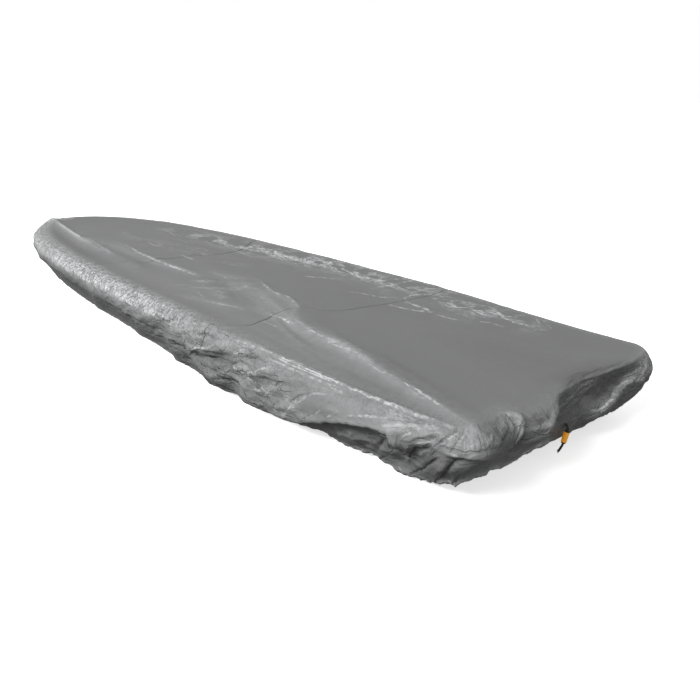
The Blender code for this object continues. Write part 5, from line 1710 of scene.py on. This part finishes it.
def silver_cloth():
    """Base colour = cloth colour * (level + own marks + painted light and shade) * (1 - painted
    shade in gaps); bump = weave + crinkles + facets + ruching + pale lines - gaps, in millimetres."""
    made, shader, start = new_material("Silver coated cloth")
    flat = start.node("ShaderNodeUVMap", {"uv_map": "Cloth"})
    spot = start.node("ShaderNodeTexCoord", out=3)

    def mask(name):
        """One of the mesh's attributes, as a number."""
        return start.node("ShaderNodeAttribute", {"attribute_name": name}, out=2)

    def vectors(operation, first, second, **more):
        """One Vector Math node on two vectors."""
        return start.node("ShaderNodeVectorMath", {"operation": operation},
                          {0: first, 1: second}, **more)

    def lines(where, scale, detail, sharp, bend):
        """Thin lines where a stretched noise crosses its middle."""
        height = where.mapped(scale).noise(1.0, detail, bend)
        return (1.0 - (height - 0.5).maths("ABSOLUTE") * sharp).maths("MAXIMUM", 0.0)

    def facet(where, scale):
        """Flat tilted facets: (place - nearest centre) . (random colour - 0.5)."""
        place = where.mapped(scale)
        centre = start.node("ShaderNodeTexVoronoi",
                            {"voronoi_dimensions": "2D", "feature": "SMOOTH_F1"},
                            {"Vector": place, "Scale": 1.0, "Smoothness": FACET_SOFT},
                            out="Position")
        tilt = vectors("SUBTRACT", centre.other("Color"), (0.5, 0.5, 0.5))
        return vectors("DOT_PRODUCT", vectors("SUBTRACT", place, centre), tilt, out="Value")

    ruching, crumple, band = mask("ruching"), mask("crumple"), mask("band")
    across, amount = mask("across"), mask("amount")
    on_skirt = mask("path").smooth(*ON_SKIRT)

    # small creases of four kinds
    bent = start.node("ShaderNodeVectorMath", {"operation": "MULTIPLY_ADD"},
                      {0: spot.noise(BEND_SCALE).other("Color"), 1: BEND_BY, 2: flat})
    loose = facet(bent, LARGE_FACET) * LARGE_TILT + facet(bent, SMALL_FACET) * SMALL_TILT
    crinkle, ruche = lines(spot, *CRINKLE_LINES), lines(flat, *RUCHE_LINES)
    broken = spot.mapped(BROKEN_SCALE).noise(1.0).smooth(*BROKEN_EDGES)
    # streak: thin broken lines of painted highlight, where the glint mask is set
    streak = lines(spot, *LONG_LINES).maths("MAXIMUM", lines(spot, *SHORT_LINES) * SHORT_SHARE)
    streak = streak * broken * mask("glint")

    # the sharp lines, with a wiggle and uneven strength along them: the pale ones are painted
    # highlights, the gaps painted shade
    quick, slow = ((spot.noise(scale) - 0.5) * size for scale, size in WIGGLES)
    dashes = spot.noise(DASH_SCALE).smooth(*DASH_EDGES) * (1 - DASH_LEAST) + DASH_LEAST
    line = (1.0 - (across + (quick + slow)).maths("ABSOLUTE")).maths("MAXIMUM", 0.0)
    highlight_line = line.smooth(0.0, LINE_EDGE) * amount.maths("MAXIMUM", 0.0) * dashes
    shaded_gap = line.smooth(0.0, GAP_EDGE) * (amount * -1.0).maths("MAXIMUM", 0.0)

    weave = flat.bands("X", WEAVE_SCALE) * flat.bands("Y", WEAVE_SCALE)
    relief_mm = (crinkle * (crumple * on_skirt * HEIGHT_MM["crinkle"] + LEAST_CRINKLE)
                 + loose * on_skirt * (crumple * HEIGHT_MM["facet"] + LEAST_FACET)
                 + ruche * ruching * band * HEIGHT_MM["ruche"]
                 + streak * HEIGHT_MM["streak"] + highlight_line * HEIGHT_MM["line"]
                 - shaded_gap * HEIGHT_MM["shaded_gap"] + weave * HEIGHT_MM["weave"])
    patchy, fine = spot.noise(*PATCHY_NOISE), spot.noise(*FINE_NOISE)
    # painted shade in the hollows and painted light on the ridges, from the relief
    relief_shading = (mask("relief") * RELIEF_SHADING * on_skirt).maths("MINIMUM", RELIEF_LIGHT_PALEST)
    # base colour: the cloth's own tone and seams, painted highlights on crease streaks, pale lines
    # and the ruched band, and painted light and shade from the relief and the streak tables
    tint = (patchy * TINT["patchy"] + fine * TINT["fine"] + TINT["level"]
            - mask("seam") * TINT["seam"] + streak * TINT["streak"] + highlight_line * TINT["line"]
            + (ruche * TINT["ruche"] + TINT["band"]) * ruching * band
            + relief_shading.maths("MAXIMUM", RELIEF_SHADE_DARKEST) + mask("sheen"))
    # painted shade in the gaps
    tint = tint * (1.0 - shaded_gap * TINT["shaded_gap"])
    plug(start, shader, "Base Color", tint.times_colour(CLOTH_COLOUR))
    plug(start, shader, "Roughness", patchy * ROUGH_PATCHY + ROUGH_LEVEL + fine * ROUGH_FINE)
    plug(start, shader, "Normal", relief_mm.bump(1.0, BUMP_STEP))
    for name, value in GLOSS.items():
        plug(start, shader, name, value)
    return made


cloth_finish = silver_cloth()
for piece in (bow, middle, stern):
    piece.data.materials.append(cloth_finish)
print("cloth finish has", len(cloth_finish.node_tree.nodes), "nodes")

# %% [markdown]
# The small parts: the lock is glossy orange plastic with faint flow marks, its caps are dark, and
# the cord is a black braid. The orange has a small emission, painted light that keeps it bright in
# shade.

# %% Plastic and cord materials
ORANGE = (1.0, 0.42, 0.03)
# emission of the orange: painted light, not a lamp
ORANGE_PAINTED_GLOW = 0.20
DARK = (0.030, 0.032, 0.030)
CORD_COLOUR = (0.030, 0.036, 0.030)
LOCK_ROUGH, CAP_ROUGH, CORD_ROUGH = 0.30, 0.40, 0.7
FLOW_SCALE = 90.0
FLOW_TINT, FLOW_LEVEL, FLOW_ROUGH = 0.25, 0.88, 0.15
GRAIN = 8                   # so many times finer than the flow marks
GRAIN_BUMP = (0.3, 0.0002)  # strength, metres
BRAID_SCALE, BRAID_BEND, BRAID_LEVEL = 260.0, 1.0, 0.5
BRAID_BUMP = (0.8, 0.0005)


def moulded(name, colour, rough, painted_glow=0.0):
    """Plastic: colour with a faint flow mark, an emission that is painted light, and a fine
    orange-peel bump.
    """
    made, shader, start = new_material(name)
    spot = start.node("ShaderNodeTexCoord", out=3)
    flow = spot.noise(FLOW_SCALE)
    plug(start, shader, "Base Color", (flow * FLOW_TINT + FLOW_LEVEL).times_colour(colour))
    plug(start, shader, "Roughness", flow * FLOW_ROUGH + rough)
    plug(start, shader, "Normal", spot.noise(FLOW_SCALE * GRAIN).bump(*GRAIN_BUMP))
    plug(start, shader, "Emission Color", (*colour, 1.0))
    plug(start, shader, "Emission Strength", painted_glow)
    return made


def braided():
    """Cord: two crossing sets of slanted ridges, read at the object's own coordinates."""
    made, shader, start = new_material("Black braided cord")
    spot = start.node("ShaderNodeTexCoord", out=3)
    one, two = (place.bands("DIAGONAL", BRAID_SCALE, BRAID_BEND)
                for place in (spot, spot.mapped((-1.0, 1.0, 1.0))))
    braid = one.maths("MAXIMUM", two)
    plug(start, shader, "Base Color", (braid + BRAID_LEVEL).times_colour(CORD_COLOUR))
    plug(start, shader, "Roughness", CORD_ROUGH)
    plug(start, shader, "Normal", braid.bump(*BRAID_BUMP))
    return made


barrel.data.materials.append(moulded("Orange plastic", ORANGE, LOCK_ROUGH, ORANGE_PAINTED_GLOW))
dark_plastic = moulded("Dark plastic", DARK, CAP_ROUGH)
for cap in (cap_upper, cap_lower):
    cap.data.materials.append(dark_plastic)
braid_finish = braided()
for line in (port_cord, stbd_cord):
    line.data.materials.append(braid_finish)
print("lock and cord finished")

# %% [markdown]
# One large soft light stands square off the port side, about 36 degrees up, so the top and the
# port flank are bright and the stern is in shade. A pale sky fills in the rest: brightest in a
# band about the horizon, and dark below it. The floor is plain and pale, just under the hem.

# %% Light and floor
KEY_FROM = Vector((-10.4, 0.0, 7.6))
KEY_WIDE = 9.0
KEY_TALL = 2.5
KEY_WATTS = 2250.0
SKY = 0.43
HORIZON = 1.0
BELOW = 0.15
SKY_STOPS = (
    # share of the way from straight down to straight up, strength
    (0.46, BELOW), (0.485, HORIZON), (0.565, HORIZON), (0.60, SKY), (1.0, SKY),
)
WHITE = (1.0, 1.0, 1.0, 1.0)
FLOOR_HALF = 300.0
FLOOR_GAP = 0.012
FLOOR_COLOUR = (0.92, 0.92, 0.92, 1.0)
FLOOR_ROUGH = 0.9
FLOOR_GLOW = 0.64

key = bpy.data.lights.new("Key", "AREA")
key.energy = KEY_WATTS
key.shape = "RECTANGLE"
key.size = KEY_WIDE
key.size_y = KEY_TALL
key_object = bpy.data.objects.new("Key", key)
key_object.location = KEY_FROM
key_object.rotation_euler = (-KEY_FROM).to_track_quat("-Z", "Y").to_euler()
bpy.context.scene.collection.objects.link(key_object)

world = bpy.data.worlds.new("Studio")
world.use_nodes = True
background = world.node_tree.nodes["Background"]
sky = Wire(world.node_tree, background.outputs[0])
ray = sky.node("ShaderNodeTexCoord", out=0)
upwards = sky.node("ShaderNodeSeparateXYZ", None, {"Vector": ray}, out=2)
shade = upwards.node("ShaderNodeValToRGB", {"stops": SKY_STOPS}, {"Fac": upwards * 0.5 + 0.5})
plug(sky, background, "Strength", shade)
plug(sky, background, "Color", WHITE)
bpy.context.scene.world = world
bpy.context.scene.view_settings.view_transform = "Standard"

lowest = min(float(panel.points[:, 2].min()) for panel in (bow_panel, mid_panel, stern_panel))
floor_z = lowest - FLOOR_GAP
floor_mesh = bpy.data.meshes.new("floor")
corners = [(x * FLOOR_HALF, y * FLOOR_HALF, floor_z)
           for x, y in ((-1, -1), (1, -1), (1, 1), (-1, 1))]
floor_mesh.from_pydata(corners, [], [(0, 1, 2, 3)])
floor = bpy.data.objects.new("floor", floor_mesh)
bpy.context.scene.collection.objects.link(floor)
pale, pale_shader, pale_start = new_material("Pale floor")
for name, value in (("Base Color", FLOOR_COLOUR), ("Roughness", FLOOR_ROUGH),
                    ("Emission Color", WHITE), ("Emission Strength", FLOOR_GLOW)):
    plug(pale_start, pale_shader, name, value)
floor_mesh.materials.append(pale)
floor.visible_diffuse = False
floor.visible_glossy = False
print("floor at", round(floor_z, 4))

# %% [markdown]
# Last, every piece is attached to the root body that carries it, and the imported solid that it
# stands for is hidden.


def surface_area(made):
    """Area of one side of the cloth's surface, from its faces."""
    areas = np.empty(len(made.data.polygons))
    made.data.polygons.foreach_get("area", areas)
    return float(areas.sum())


def hand_over(made, node):
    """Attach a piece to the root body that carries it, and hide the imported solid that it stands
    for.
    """
    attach(made, "root")
    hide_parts(node)


for made, node in ((bow, "bow_panel"), (middle, "mid_panel"), (stern, "stern_panel")):
    hand_over(made, node)
    print(made.name, "surface area", round(surface_area(made), 3), "m2")

hand_over(barrel, "lock_body")
hand_over(cap_upper, "lock_cap_top")
hand_over(cap_lower, "lock_cap_low")

for made, node, leaves, length, on_it in (
        (port_cord, "drawcord_port", port_exit, port_length, [barrel, cap_upper, cap_lower]),
        (stbd_cord, "drawcord_starboard", stbd_exit, stbd_length, [])):
    hand_over(made, node)
